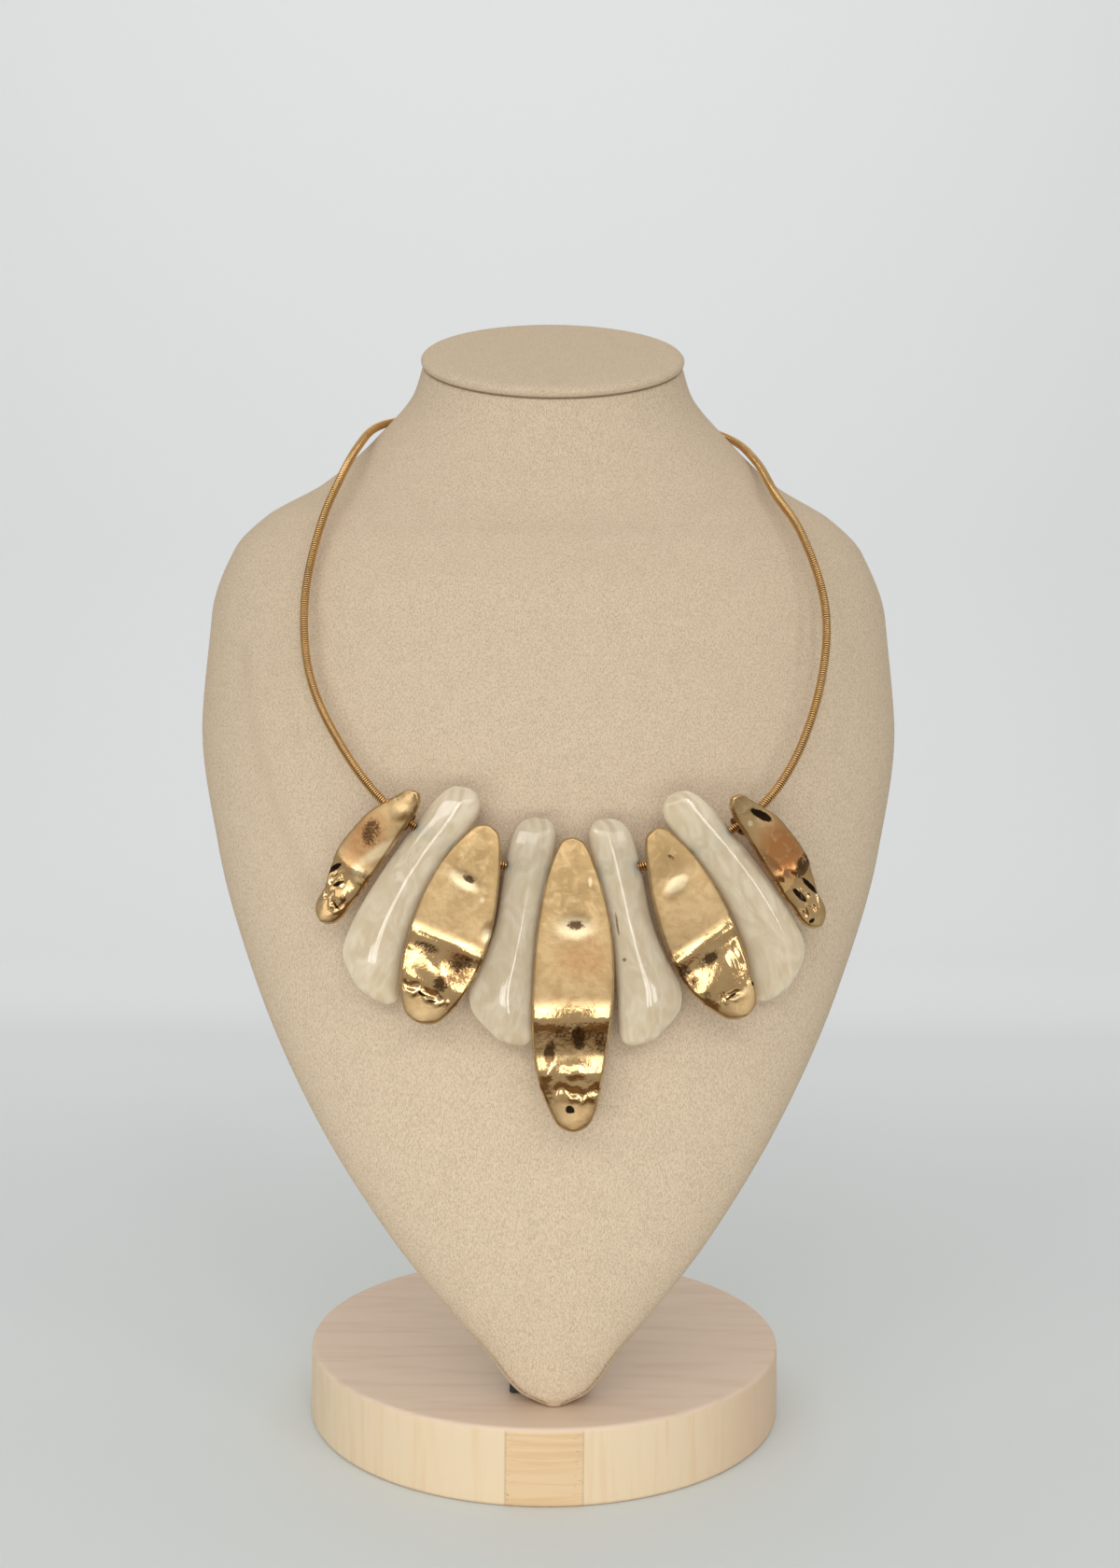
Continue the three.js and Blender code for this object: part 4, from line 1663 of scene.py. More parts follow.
@dataclass(frozen=True)
class GiltPlate:
    """A hammered gilt plate on a bail, with its own dents, creases, copper tone and patina, and with
    painted dark reflections, painted shade and painted highlights.
    """

    node: str
    outline: Outline
    hang: Hanging
    spots: tuple[Spot, ...]
    creases: tuple[Crease, ...]
    seed: int
    relief: tuple[ReliefRow, ...]
    skew: float = 0.0
    crown: float = 0.5
    dent_rim: float = 0.12
    dent_rim_place: float = 1.5
    dent_rim_width: float = 0.4
    thickness: float = 1.4
    stand: float = 5.0
    rim: float = 0.7
    rim_shade: float = 1.5
    crisp: float = 60.0
    outline_samples: int = 600
    stations: int = 200
    front_columns: int = 88
    back_columns: int = 20
    lumps: int = 60
    lump_size: float = 2.6
    lump_height: float = 0.07
    lump_breadth: float = 1.3
    lump_least: tuple[float, ...] = (0.0, -1.0, 0.6, -1.0)
    lump_most: tuple[float, ...] = (1.0, 1.0, 1.4, 1.0)
    satin_lumps: float = 0.3
    polish_start: float = 0.55
    bail_radius: float = 2.6
    bail_bore: float = 1.6
    bail_length: float = 6.5
    bail_segments: int = 48
    bail_darkening: float = 0.7

    def grid(self, columns: int) -> FaceGrid:
        """Grid of places over the outline, with columns closer together at its edges.

        Args:
            columns: Number of columns from the viewer's right edge to the left.

        Returns:
            The grid.
        """
        high, low = self.outline.edges(self.hang.side, self.stations)
        across = np.sin(np.linspace(-np.pi / 2, np.pi / 2, columns))
        spots = low[:, None] + (high - low)[:, None] * ((across + 1.0) / 2.0)[None, :, None]
        wide = np.broadcast_to(across, spots.shape[:-1])
        return FaceGrid(spots, self.outline.share(spots), wide, high, low, self.outline.length)

    def height(self, grid: FaceGrid) -> Array:
        """Height of the plate's middle sheet.

        It is the relief along the plate, less a crown that falls off with the square of the way across,
        plus creases, dents and seeded hammer lumps, which are all bell curves.

        Args:
            grid: Places on the plate.

        Returns:
            Heights in mm.
        """
        right = -grid.across
        level = grid.share + self.skew * right
        total = row_curve(self.relief, "lift", "share")(level) - self.crown * grid.across**2
        for crease in self.creases:
            total = total + crease.relief(grid.share, right, grid.length)
        for spot in self.spots:
            if spot.touch is Touch.DENT:
                away = grid.oval(spot)
                rim = self.dent_rim * bell((away - self.dent_rim_place) / self.dent_rim_width)
                total = total + spot.strength * (rim - bell(away))
        return total + self.hammering(grid)

    def hammering(self, grid: FaceGrid) -> Array:
        """Shallow seeded lumps, stronger where the plate is polished.

        Args:
            grid: Places on the plate.

        Returns:
            Heights in mm.
        """
        draw = np.random.default_rng(self.seed)
        total = np.zeros(grid.share.shape)
        for _ in range(self.lumps):
            share, right, size, height = draw.uniform(self.lump_least, self.lump_most)
            reach = self.lump_size * size
            lump = Spot(Touch.DENT, share, right, reach, reach * self.lump_breadth, 0.0, height)
            worked = 1.0 if share > self.polish_start else self.satin_lumps
            total = total + self.lump_height * height * worked * bell(grid.oval(lump))
        return total

    def marks(self, grid: FaceGrid) -> dict[str, Array]:
        """Polish along the plate and the marks of its spots.

        Args:
            grid: Places on the plate.

        Returns:
            Values over the grid, by mark.
        """
        # Besides polish and copper tone, these marks carry painted dark reflection, painted shade and
        # painted highlight.
        named = {
            touch.value: grid.mark(self.spots, touch)
            for touch in (Touch.STAIN_AND_DARK_REFLECTION, Touch.SMOKE, Touch.OLIVE, Touch.BLUSH, Touch.PAINTED_HIGHLIGHT)
        }
        level = grid.share - self.skew * grid.across
        along = row_curve(self.relief, "polish", "share")(level)
        named["polish"] = np.maximum(along, grid.mark(self.spots, Touch.POLISH))
        return named

    def sheet(self, placed: HangingFrame) -> Shell:
        """The plate itself: front and back faces that close in a round rim.

        Args:
            placed: Where the plate hangs.

        Returns:
            The closed sheet.
        """
        outline = self.outline.spline(self.hang.side)(np.linspace(0.0, 1.0, self.outline_samples))
        faces = []
        marks = []
        for columns, sign in ((self.front_columns, 1.0), (self.back_columns, -1.0)):
            grid = self.grid(columns)
            away = to_outline(grid.spots, outline)
            rounded = np.sqrt(1.0 - (1.0 - np.clip(away / self.rim, 0.0, 1.0)) ** 2)
            face = placed.world(grid.spots, self.height(grid) + sign * rounded * self.thickness / 2)
            faces.append(face)
            # Painted shade: the rim mark darkens the gold along the plate's edge.
            marks.append({**self.marks(grid), "rim": bell(away / self.rim_shade)})
        front, back = faces
        rings = np.concatenate([front, back[:, -2:0:-1]], axis=1)
        named = {
            key: np.concatenate([value, marks[1][key][:, -2:0:-1]], axis=1)
            for key, value in marks[0].items()
        }
        lifts = (self.relief[0].lift, self.relief[-1].lift)
        return lofted(rings, placed.tips(self.outline, self.hang.side, lifts), named)

    def bail(self, placed: HangingFrame, collar: Collar) -> Shell:
        """The bail: a round eye on the wire under a straight tab, carried along the wire.

        Args:
            placed: Where the plate hangs.
            collar: The wire.

        Returns:
            The closed bail.
        """
        hook, along = collar.front_at(self.hang.cross)
        out = unit(placed.out - (placed.out @ along) * along)
        sideways = np.cross(out, along)
        angle = turns(self.bail_segments)
        turn = np.stack([np.cos(angle), np.sin(angle)], axis=-1)
        square = np.minimum(
            self.bail_radius / np.maximum(np.abs(turn[:, 0]), TINY),
            self.stand / np.maximum(np.abs(turn[:, 1]), TINY),
        )
        outer = np.where(turn[:, 1] > 0, square, self.bail_radius)
        half = self.bail_length / 2
        bore = np.full_like(outer, self.bail_bore)
        radii = np.stack([bore, outer, outer, bore], axis=1)
        depth = np.array([-half, -half, half, half])
        rings = (
            hook
            + (radii * turn[:, :1])[..., None] * sideways
            + (radii * turn[:, 1:])[..., None] * out
            + depth[None, :, None] * along
        )
        eye = looped(rings[:, ::-1])
        count = len(eye.points)
        # The eye takes the copper tone and is darkened through the dark mark.
        eye.marks = {"blush": np.ones(count), "smoke": np.full(count, self.bail_darkening)}
        return eye

    def build(self, bust: NeckBust, collar: Collar, gilt: bpy.types.Material) -> bpy.types.Object:
        """Build the plate with its bail.

        Args:
            bust: The bust under it.
            collar: The wire that carries it.
            gilt: Its finish.

        Returns:
            The piece.
        """
        placed = HangingFrame.of(self.hang, self.stand, bust, collar)
        shells = [self.sheet(placed), self.bail(placed, collar)]
        return dress(f"plate_{self.node}", shells, gilt, self.node, self.crisp)


@dataclass(frozen=True)
class TuskStone:
    """A polished cream tusk, drilled across for the wire."""

    node: str
    outline: Outline
    hang: Hanging
    smoke: tuple[Spot, ...] = ()
    stains: tuple[Spot, ...] = ()
    half_thickness: float = 4.4
    end_rounding: float = 0.38
    squareness: float = 0.7
    keel: float = 4.6
    keel_top: float = 0.62
    keel_growth: float = 0.48
    bluntness: int = 10
    edge_power: int = 5
    roof: float = 0.26
    roof_rounding: tuple[float, float] = (0.07, 0.20)
    ridge: float = 0.2
    bore: float = 1.6
    bore_reach: float = 16.0
    stations: int = 150
    sides: int = 144

    def rise(self, share: Array, even: Array, deep: Array) -> Array:
        """Height of the surface: a roofed front and a back whose depth is a root of a sine.

        The front grows evenly down the stone and ends bluntly. A share of its height is a low roof of
        two flat slopes, whose ridge is rounder towards the bottom.

        Args:
            share: Share of the length at each ring.
            even: Way across a ring, from 1 to -1 and back.
            deep: Way out of a ring, from 1 at the front to -1 at the back.

        Returns:
            Heights of every ring's points, in mm.
        """
        thickness = self.half_thickness * np.sin(np.pi * np.clip(share, 0.0, 1.0)) ** self.end_rounding
        blunt = np.sqrt(np.maximum(1.0 - np.abs(2.0 * share - 1.0) ** self.bluntness, 0.0))
        front = (self.keel * (self.keel_top + self.keel_growth * share) * blunt)[:, None]
        soft = (self.roof_rounding[0] + self.roof_rounding[1] * share**3)[:, None]
        edge = np.sqrt(1.0 + soft**2)
        slopes = (edge - np.sqrt(even**2 + soft**2)) / (edge - soft)
        roofed = front * ((1.0 - self.roof) * deep + self.roof * slopes)
        return np.where(deep > 0, roofed, thickness[:, None] * deep)

    def build(self, bust: NeckBust, collar: Collar, cream: bpy.types.Material) -> bpy.types.Object:
        """Build the stone: a soft squarish oval, drilled for the wire.

        Its ridge lies to the viewer's right of the middle by a share of the half width.

        Args:
            bust: The bust under it.
            collar: The wire that carries it.
            cream: Its finish.

        Returns:
            The piece.
        """
        placed = HangingFrame.of(self.hang, 0.0, bust, collar)
        high, low = self.outline.edges(self.hang.side, self.stations)
        angle = turns(self.sides)
        even = np.cos(angle)
        facing = np.sign(np.sin(angle)) * (np.abs(np.sin(angle)) > TINY)
        deep = facing * (1.0 - np.abs(even) ** (2.0 / self.squareness)) ** (self.squareness / 2.0)
        wide = even + self.ridge * (1.0 - even**2) * np.maximum(deep, 0.0)
        spots = low[:, None] + (high - low)[:, None] * ((1.0 - wide) / 2.0)[None, :, None]
        rings = placed.world(spots, self.rise(self.outline.share((high + low) / 2.0), even, deep))
        across = np.broadcast_to(-wide, spots.shape[:-1])
        grid = FaceGrid(spots, self.outline.share(spots), across, high, low, self.outline.length)
        marks = {
            "smoke": grid.mark(self.smoke, Touch.SMOKE),
            "stain": grid.mark(self.stains, Touch.STAIN_AND_DARK_REFLECTION) * (deep > 0),
            # Painted highlight: the edge mark makes the stone paler towards its edges.
            "edge": np.abs(grid.across) ** self.edge_power,
            "local": np.zeros(rings.shape),
        }
        shell = lofted(rings, placed.tips(self.outline, self.hang.side, (0.0, 0.0)), marks)
        piece = dress(f"tusk_{self.node}", [shell], cream, self.node)
        drill(piece, collar.bore(self.hang.cross, self.bore, self.bore_reach))
        places = np.empty(3 * len(piece.data.vertices), np.float32)
        piece.data.vertices.foreach_get("co", places)
        local = placed.local(places.reshape(-1, 3) / MM) * MM
        piece.data.attributes["local"].data.foreach_set("vector", local.astype(np.float32).ravel())
        return piece


# The necklace's own plates and stones

DISH_HEAD = (
    ReliefRow(0.0, -0.2, 0.35),
    ReliefRow(0.14, 0.0, 0.25),
    ReliefRow(0.45, 0.1, 0.1),
)
LONG_DISH = (
    *DISH_HEAD,
    ReliefRow(0.56, 0.12, 0.35),
    ReliefRow(0.622, 0.82, 0.95),
    ReliefRow(0.68, 0.55, 0.6),
    ReliefRow(0.74, 0.38, 0.55),
    ReliefRow(0.81, 1.05, 1.0),
    ReliefRow(0.87, 1.12, 0.95),
    ReliefRow(0.92, 1.22, 0.3),
    ReliefRow(1.0, 1.6, 0.12),
)
SHORT_DISH = (
    *DISH_HEAD,
    ReliefRow(0.555, 0.12, 0.35),
    ReliefRow(0.605, 0.6, 0.95),
    ReliefRow(0.66, 0.4, 0.9),
    ReliefRow(0.80, 1.4, 1.0),
    ReliefRow(0.86, 1.45, 0.95),
    ReliefRow(0.91, 1.52, 0.3),
    ReliefRow(1.0, 1.85, 0.12),
)
SMALL_DISH = (
    ReliefRow(0.0, -0.1, 0.6),
    ReliefRow(0.12, 0.0, 0.45),
    ReliefRow(0.3, 0.05, 0.25),
    ReliefRow(0.53, 0.1, 0.15),
    ReliefRow(0.61, 0.3, 0.7),
    ReliefRow(0.68, 0.1, 0.95),
    ReliefRow(0.80, 0.75, 1.0),
    ReliefRow(0.90, 0.88, 0.6),
    ReliefRow(1.0, 1.1, 0.3),
)

CENTRE_OUTLINE = Outline(
    (-8.6, 0.0),
    (
        EdgeRow(-5.5, 4.2, 3.6),
        EdgeRow(1.0, 6.6, 6.0),
        EdgeRow(10.0, 9.0, 7.9),
        EdgeRow(20.0, 10.2, 9.2),
        EdgeRow(31.0, 10.1, 9.8),
        EdgeRow(42.0, 8.6, 9.8),
        EdgeRow(51.0, 7.1, 8.3),
        EdgeRow(58.5, 5.2, 5.2),
    ),
    (62.6, 0.0),
)
MID_OUTLINE = Outline(
    (-8.3, 0.6),
    (
        EdgeRow(-5.0, 3.8, 4.9),
        EdgeRow(1.0, 6.8, 6.9),
        EdgeRow(8.0, 8.7, 8.7),
        EdgeRow(16.0, 9.7, 10.0),
        EdgeRow(25.0, 9.4, 10.2),
        EdgeRow(33.0, 8.1, 8.9),
        EdgeRow(39.5, 5.2, 6.2),
    ),
    (42.9, 0.4),
)
OUTER_OUTLINE = Outline(
    (-7.6, 3.1),
    (
        EdgeRow(-4.0, 1.3, 5.4),
        EdgeRow(3.0, 5.4, 5.0),
        EdgeRow(9.0, 7.0, 4.7),
        EdgeRow(15.0, 7.8, 4.3),
        EdgeRow(20.5, 6.9, 3.8),
        EdgeRow(25.5, 5.3, 3.3),
        EdgeRow(30.0, 5.0, 2.8),
    ),
    (33.2, -1.0),
)
SLIM_SHARE = 0.85
SLIM_TOE = EdgeRow(39.5, 5.6, 5.2)
SLIM_LEAN = -0.9
INNER_STONE = Outline(
    (-13.6, 0.6),
    (
        EdgeRow(-10.5, 5.4, 4.2),
        EdgeRow(-3.0, 6.8, 4.9),
        EdgeRow(5.0, 6.8, 4.6),
        EdgeRow(14.0, 6.7, 4.4),
        EdgeRow(23.0, 8.2, 4.9),
        EdgeRow(31.0, 10.4, 5.8),
        EdgeRow(36.5, 9.0, 6.8),
        EdgeRow(41.0, 3.6, 7.0),
    ),
    (43.0, 3.0),
)
OUTER_STONE = Outline(
    (-15.4, 1.6),
    (
        EdgeRow(-12.0, 4.2, 6.0),
        EdgeRow(-6.0, 6.5, 6.1),
        EdgeRow(4.0, 8.8, 3.7),
        EdgeRow(16.0, 11.0, 2.5),
        EdgeRow(28.0, 12.1, 3.6),
        EdgeRow(35.5, 11.0, 5.6),
        EdgeRow(40.5, 5.4, 6.6),
    ),
    (42.5, 3.0),
)

# On the plates below, the black spots and the olive spots at the tops are painted dark reflection, the dark
# speckled spots are painted dark reflection over real patina, and the pale gold spots are painted
# highlights.
PLATES = (
    GiltPlate(
        "gold_centre",
        CENTRE_OUTLINE,
        Hanging(6.0, 6.9, 88.9, 8.5),
        (
            Spot(Touch.OLIVE, 0.10, 0.0, 14.0, 12.0, 0.0, 1.0),
            Spot(Touch.DENT, 0.31, 0.05, 2.0, 3.4, 0.0, 0.2),
            Spot(Touch.PAINTED_HIGHLIGHT, 0.313, 0.0, 2.6, 4.4, 0.0, 1.2),
            Spot(Touch.SMOKE, 0.31, 0.05, 1.3, 2.4, 0.0, 1.25),
            Spot(Touch.DENT, 0.21, 0.55, 6.0, 1.2, 14.0, 0.15),
            Spot(Touch.PAINTED_HIGHLIGHT, 0.16, 0.62, 1.2, 0.5, 0.0, 1.0),
            Spot(Touch.BLUSH, 0.42, 0.2, 4.0, 6.0, 0.0, 0.4),
            Spot(Touch.SMOKE, 0.67, 0.1, 3.6, 9.0, 0.0, 0.72),
            Spot(Touch.SMOKE, 0.685, 0.2, 3.4, 2.0, 10.0, 1.15),
            Spot(Touch.SMOKE, 0.745, -0.56, 3.6, 1.6, -8.0, 1.15),
            Spot(Touch.SMOKE, 0.70, 0.8, 4.5, 2.0, 0.0, 0.85),
            Spot(Touch.STAIN_AND_DARK_REFLECTION, 0.925, -0.12, 1.0, 1.4, -20.0, 0.8),
        ),
        (
            Crease(0.868, 0.006, 0.008, 1.6, -0.6, 1.0, 0.8, -0.42),
            Crease(0.885, 0.012, 0.008, 2.1, -0.3, 0.9, 0.6, 0.3),
            Crease(0.80, -0.01, 0.012, 1.3, -0.9, 0.8, 1.1, 0.22),
        ),
        11,
        LONG_DISH,
    ),
    GiltPlate(
        "gold_mid_left",
        MID_OUTLINE,
        Hanging(-17.1, -30.9, 115.6, 9.2),
        (
            Spot(Touch.OLIVE, 0.14, 0.0, 12.0, 12.0, 0.0, 1.0),
            Spot(Touch.SMOKE, 0.19, -0.4, 3.5, 1.5, -35.0, 0.6),
            Spot(Touch.SMOKE, 0.22, 0.45, 1.2, 3.0, 0.0, 0.55),
            Spot(Touch.DENT, 0.285, 0.05, 1.4, 3.2, -12.0, 0.2),
            Spot(Touch.PAINTED_HIGHLIGHT, 0.295, -0.1, 1.7, 4.4, -12.0, 1.0),
            Spot(Touch.SMOKE, 0.28, 0.07, 0.9, 2.0, -12.0, 1.15),
            Spot(Touch.PAINTED_HIGHLIGHT, 0.35, 0.6, 0.7, 0.7, 0.0, 0.8),
            Spot(Touch.DENT, 0.50, 0.95, 2.2, 1.6, 0.0, 0.3),
            Spot(Touch.PAINTED_HIGHLIGHT, 0.51, 0.9, 1.8, 1.2, 0.0, 1.0),
            Spot(Touch.SMOKE, 0.645, -0.45, 1.6, 4.5, 0.0, 0.9),
            Spot(Touch.SMOKE, 0.71, 0.55, 5.0, 4.2, 0.0, 0.95),
            Spot(Touch.SMOKE, 0.79, 0.25, 2.2, 2.2, 0.0, 1.15),
            Spot(Touch.BLUSH, 0.66, 0.4, 3.0, 3.0, 0.0, 0.6),
            Spot(Touch.STAIN_AND_DARK_REFLECTION, 0.865, -0.2, 0.45, 1.6, -12.0, 0.8),
            Spot(Touch.STAIN_AND_DARK_REFLECTION, 0.885, 0.2, 0.4, 1.2, 0.0, 0.85),
        ),
        (
            Crease(0.852, 0.008, 0.010, 1.5, -1.0, 0.75, 0.8, -0.42),
            Crease(0.875, 0.004, 0.010, 1.9, -0.8, 0.8, 0.6, 0.3),
            Crease(0.73, 0.06, 0.012, 1.1, -1.0, 0.1, 0.9, -0.15),
        ),
        23,
        SHORT_DISH,
        -0.012,
    ),
    GiltPlate(
        "gold_mid_right",
        MID_OUTLINE.slimmed(SLIM_SHARE, SLIM_TOE, SLIM_LEAN),
        Hanging(29.6, 49.0, 114.2, 10.0),
        (
            Spot(Touch.OLIVE, 0.08, 0.0, 9.0, 12.0, 0.0, 1.0),
            Spot(Touch.SMOKE, 0.16, 0.1, 1.6, 0.7, 30.0, 0.8),
            Spot(Touch.SMOKE, 0.24, -0.6, 0.8, 2.2, 0.0, 0.55),
            Spot(Touch.DENT, 0.293, -0.15, 1.8, 3.2, 12.0, -0.2),
            Spot(Touch.PAINTED_HIGHLIGHT, 0.288, -0.15, 1.4, 3.0, 12.0, 1.6),
            Spot(Touch.SMOKE, 0.675, 0.0, 1.4, 2.3, 0.0, 1.25),
            Spot(Touch.SMOKE, 0.67, -0.1, 2.2, 5.0, 10.0, 0.75),
            Spot(Touch.SMOKE, 0.71, -0.8, 5.5, 2.2, 20.0, 0.9),
            Spot(Touch.SMOKE, 0.83, -0.7, 1.6, 1.4, 0.0, 0.85),
            Spot(Touch.DENT, 0.73, 0.52, 2.2, 0.9, 0.0, -0.2),
            Spot(Touch.DENT, 0.71, 0.86, 2.2, 1.0, 0.0, -0.2),
            Spot(Touch.STAIN_AND_DARK_REFLECTION, 0.885, -0.05, 0.4, 2.2, 6.0, 0.8),
            Spot(Touch.STAIN_AND_DARK_REFLECTION, 0.87, 0.95, 0.6, 0.5, 0.0, 0.9),
        ),
        (
            Crease(0.877, -0.010, 0.008, 1.5, -0.6, 0.7, 0.8, -0.42),
            Crease(0.898, -0.004, 0.006, 1.9, -0.5, 0.6, 0.6, 0.3),
            Crease(0.63, -0.12, 0.01, 1.0, 0.45, 1.1, 0.8, 0.28),
        ),
        37,
        SHORT_DISH,
        0.027,
    ),
    GiltPlate(
        "gold_outer_left",
        OUTER_OUTLINE,
        Hanging(-37.6, -54.2, 140.3, 8.0),
        (
            Spot(Touch.DENT, 0.16, 0.3, 1.5, 2.2, 30.0, -0.25),
            Spot(Touch.SMOKE, 0.36, -0.15, 4.4, 3.2, 20.0, 0.95),
            Spot(Touch.OLIVE, 0.36, -0.15, 4.0, 4.0, 20.0, 0.5),
            Spot(Touch.BLUSH, 0.42, -0.25, 7.0, 5.0, 0.0, 0.7),
            Spot(Touch.PAINTED_HIGHLIGHT, 0.42, 0.75, 7.5, 1.6, -30.0, 0.9),
            Spot(Touch.PAINTED_HIGHLIGHT, 0.60, 0.35, 1.4, 1.8, 0.0, 1.0),
            Spot(Touch.STAIN_AND_DARK_REFLECTION, 0.68, -0.75, 2.8, 0.8, -30.0, 0.85),
            Spot(Touch.STAIN_AND_DARK_REFLECTION, 0.74, -0.2, 1.6, 0.6, -35.0, 0.9),
            Spot(Touch.STAIN_AND_DARK_REFLECTION, 0.86, 0.3, 0.4, 1.4, -20.0, 0.85),
            Spot(Touch.SMOKE, 0.80, 0.45, 1.6, 1.2, 0.0, 0.9),
        ),
        (
            Crease(0.70, -0.05, 0.02, 1.7, -1.0, 0.2, 0.9, -0.35),
            Crease(0.84, 0.02, 0.02, 1.9, -0.9, 0.8, 0.7, -0.35),
            Crease(0.87, 0.02, 0.015, 1.6, -0.8, 0.9, 0.6, 0.25),
        ),
        41,
        SMALL_DISH,
    ),
    GiltPlate(
        "gold_outer_right",
        OUTER_OUTLINE,
        Hanging(50.6, 68.8, 136.8, 9.8),
        (
            Spot(Touch.OLIVE, 0.08, 0.0, 4.0, 6.0, 0.0, 0.6),
            Spot(Touch.STAIN_AND_DARK_REFLECTION, 0.19, 0.40, 3.4, 1.1, 35.0, 1.0),
            Spot(Touch.DENT, 0.20, 0.35, 3.0, 1.3, 35.0, 0.3),
            Spot(Touch.PAINTED_HIGHLIGHT, 0.20, -0.45, 0.7, 0.7, 0.0, 1.2),
            Spot(Touch.BLUSH, 0.46, 0.15, 7.5, 8.0, 0.0, 1.1),
            Spot(Touch.POLISH, 0.40, -0.9, 8.0, 1.2, 24.0, 0.9),
            Spot(Touch.SMOKE, 0.61, 0.55, 2.0, 3.8, 25.0, 1.3),
            Spot(Touch.SMOKE, 0.50, 0.3, 0.6, 3.0, 20.0, 0.6),
            Spot(Touch.STAIN_AND_DARK_REFLECTION, 0.75, -0.3, 2.4, 0.8, 15.0, 1.0),
            Spot(Touch.STAIN_AND_DARK_REFLECTION, 0.74, 0.5, 2.8, 0.7, 15.0, 1.0),
            Spot(Touch.STAIN_AND_DARK_REFLECTION, 0.93, -0.5, 0.5, 0.9, 0.0, 0.9),
            Spot(Touch.PAINTED_HIGHLIGHT, 0.82, 0.75, 1.0, 0.7, 0.0, 1.0),
        ),
        (
            Crease(0.595, 0.03, 0.012, 1.6, -1.1, 1.1, 1.0, 0.45),
            Crease(0.76, 0.10, 0.02, 1.7, -0.2, 1.0, 0.8, -0.35),
            Crease(0.86, 0.0, 0.02, 1.9, -0.9, 0.9, 0.7, -0.35),
        ),
        53,
        SMALL_DISH,
    ),
)

STONE_REACH = 5.2
STONES = (
    TuskStone("stone_inner_left", INNER_STONE, Hanging(-3.7, -10.1, 111.5, STONE_REACH)),
    TuskStone(
        "stone_inner_right",
        INNER_STONE,
        Hanging(16.8, 25.9, 109.9, STONE_REACH),
        stains=(
            Spot(Touch.STAIN_AND_DARK_REFLECTION, 0.48, -0.66, 3.6, 0.3, -4.0, 0.7),
            Spot(Touch.STAIN_AND_DARK_REFLECTION, 0.63, -0.66, 0.6, 0.5, 0.0, 0.9),
        ),
        ridge=-0.12,
    ),
    TuskStone(
        "stone_outer_left",
        OUTER_STONE,
        Hanging(-27.1, -43.0, 122.1, STONE_REACH),
        smoke=(Spot(Touch.SMOKE, 0.4, 0.1, 12.0, 5.0, 0.0, 1.0),),
    ),
    TuskStone(
        "stone_outer_right",
        OUTER_STONE,
        Hanging(39.7, 60.6, 119.4, STONE_REACH),
        smoke=(Spot(Touch.SMOKE, 0.5, 0.0, 10.0, 4.0, 0.0, 0.6),),
    ),
)


# Studio


class Reach(Enum):
    """Whether a light falls only on the pieces named with it or passes them by."""

    ONLY = "INCLUDE"
    PAST = "EXCLUDE"


@dataclass(frozen=True)
class Pane:
    """A bright pane by its direction from the necklace, in degrees, and its angular size."""

    azimuth: float
    elevation: float
    width: float
    height: float
    radiance: float


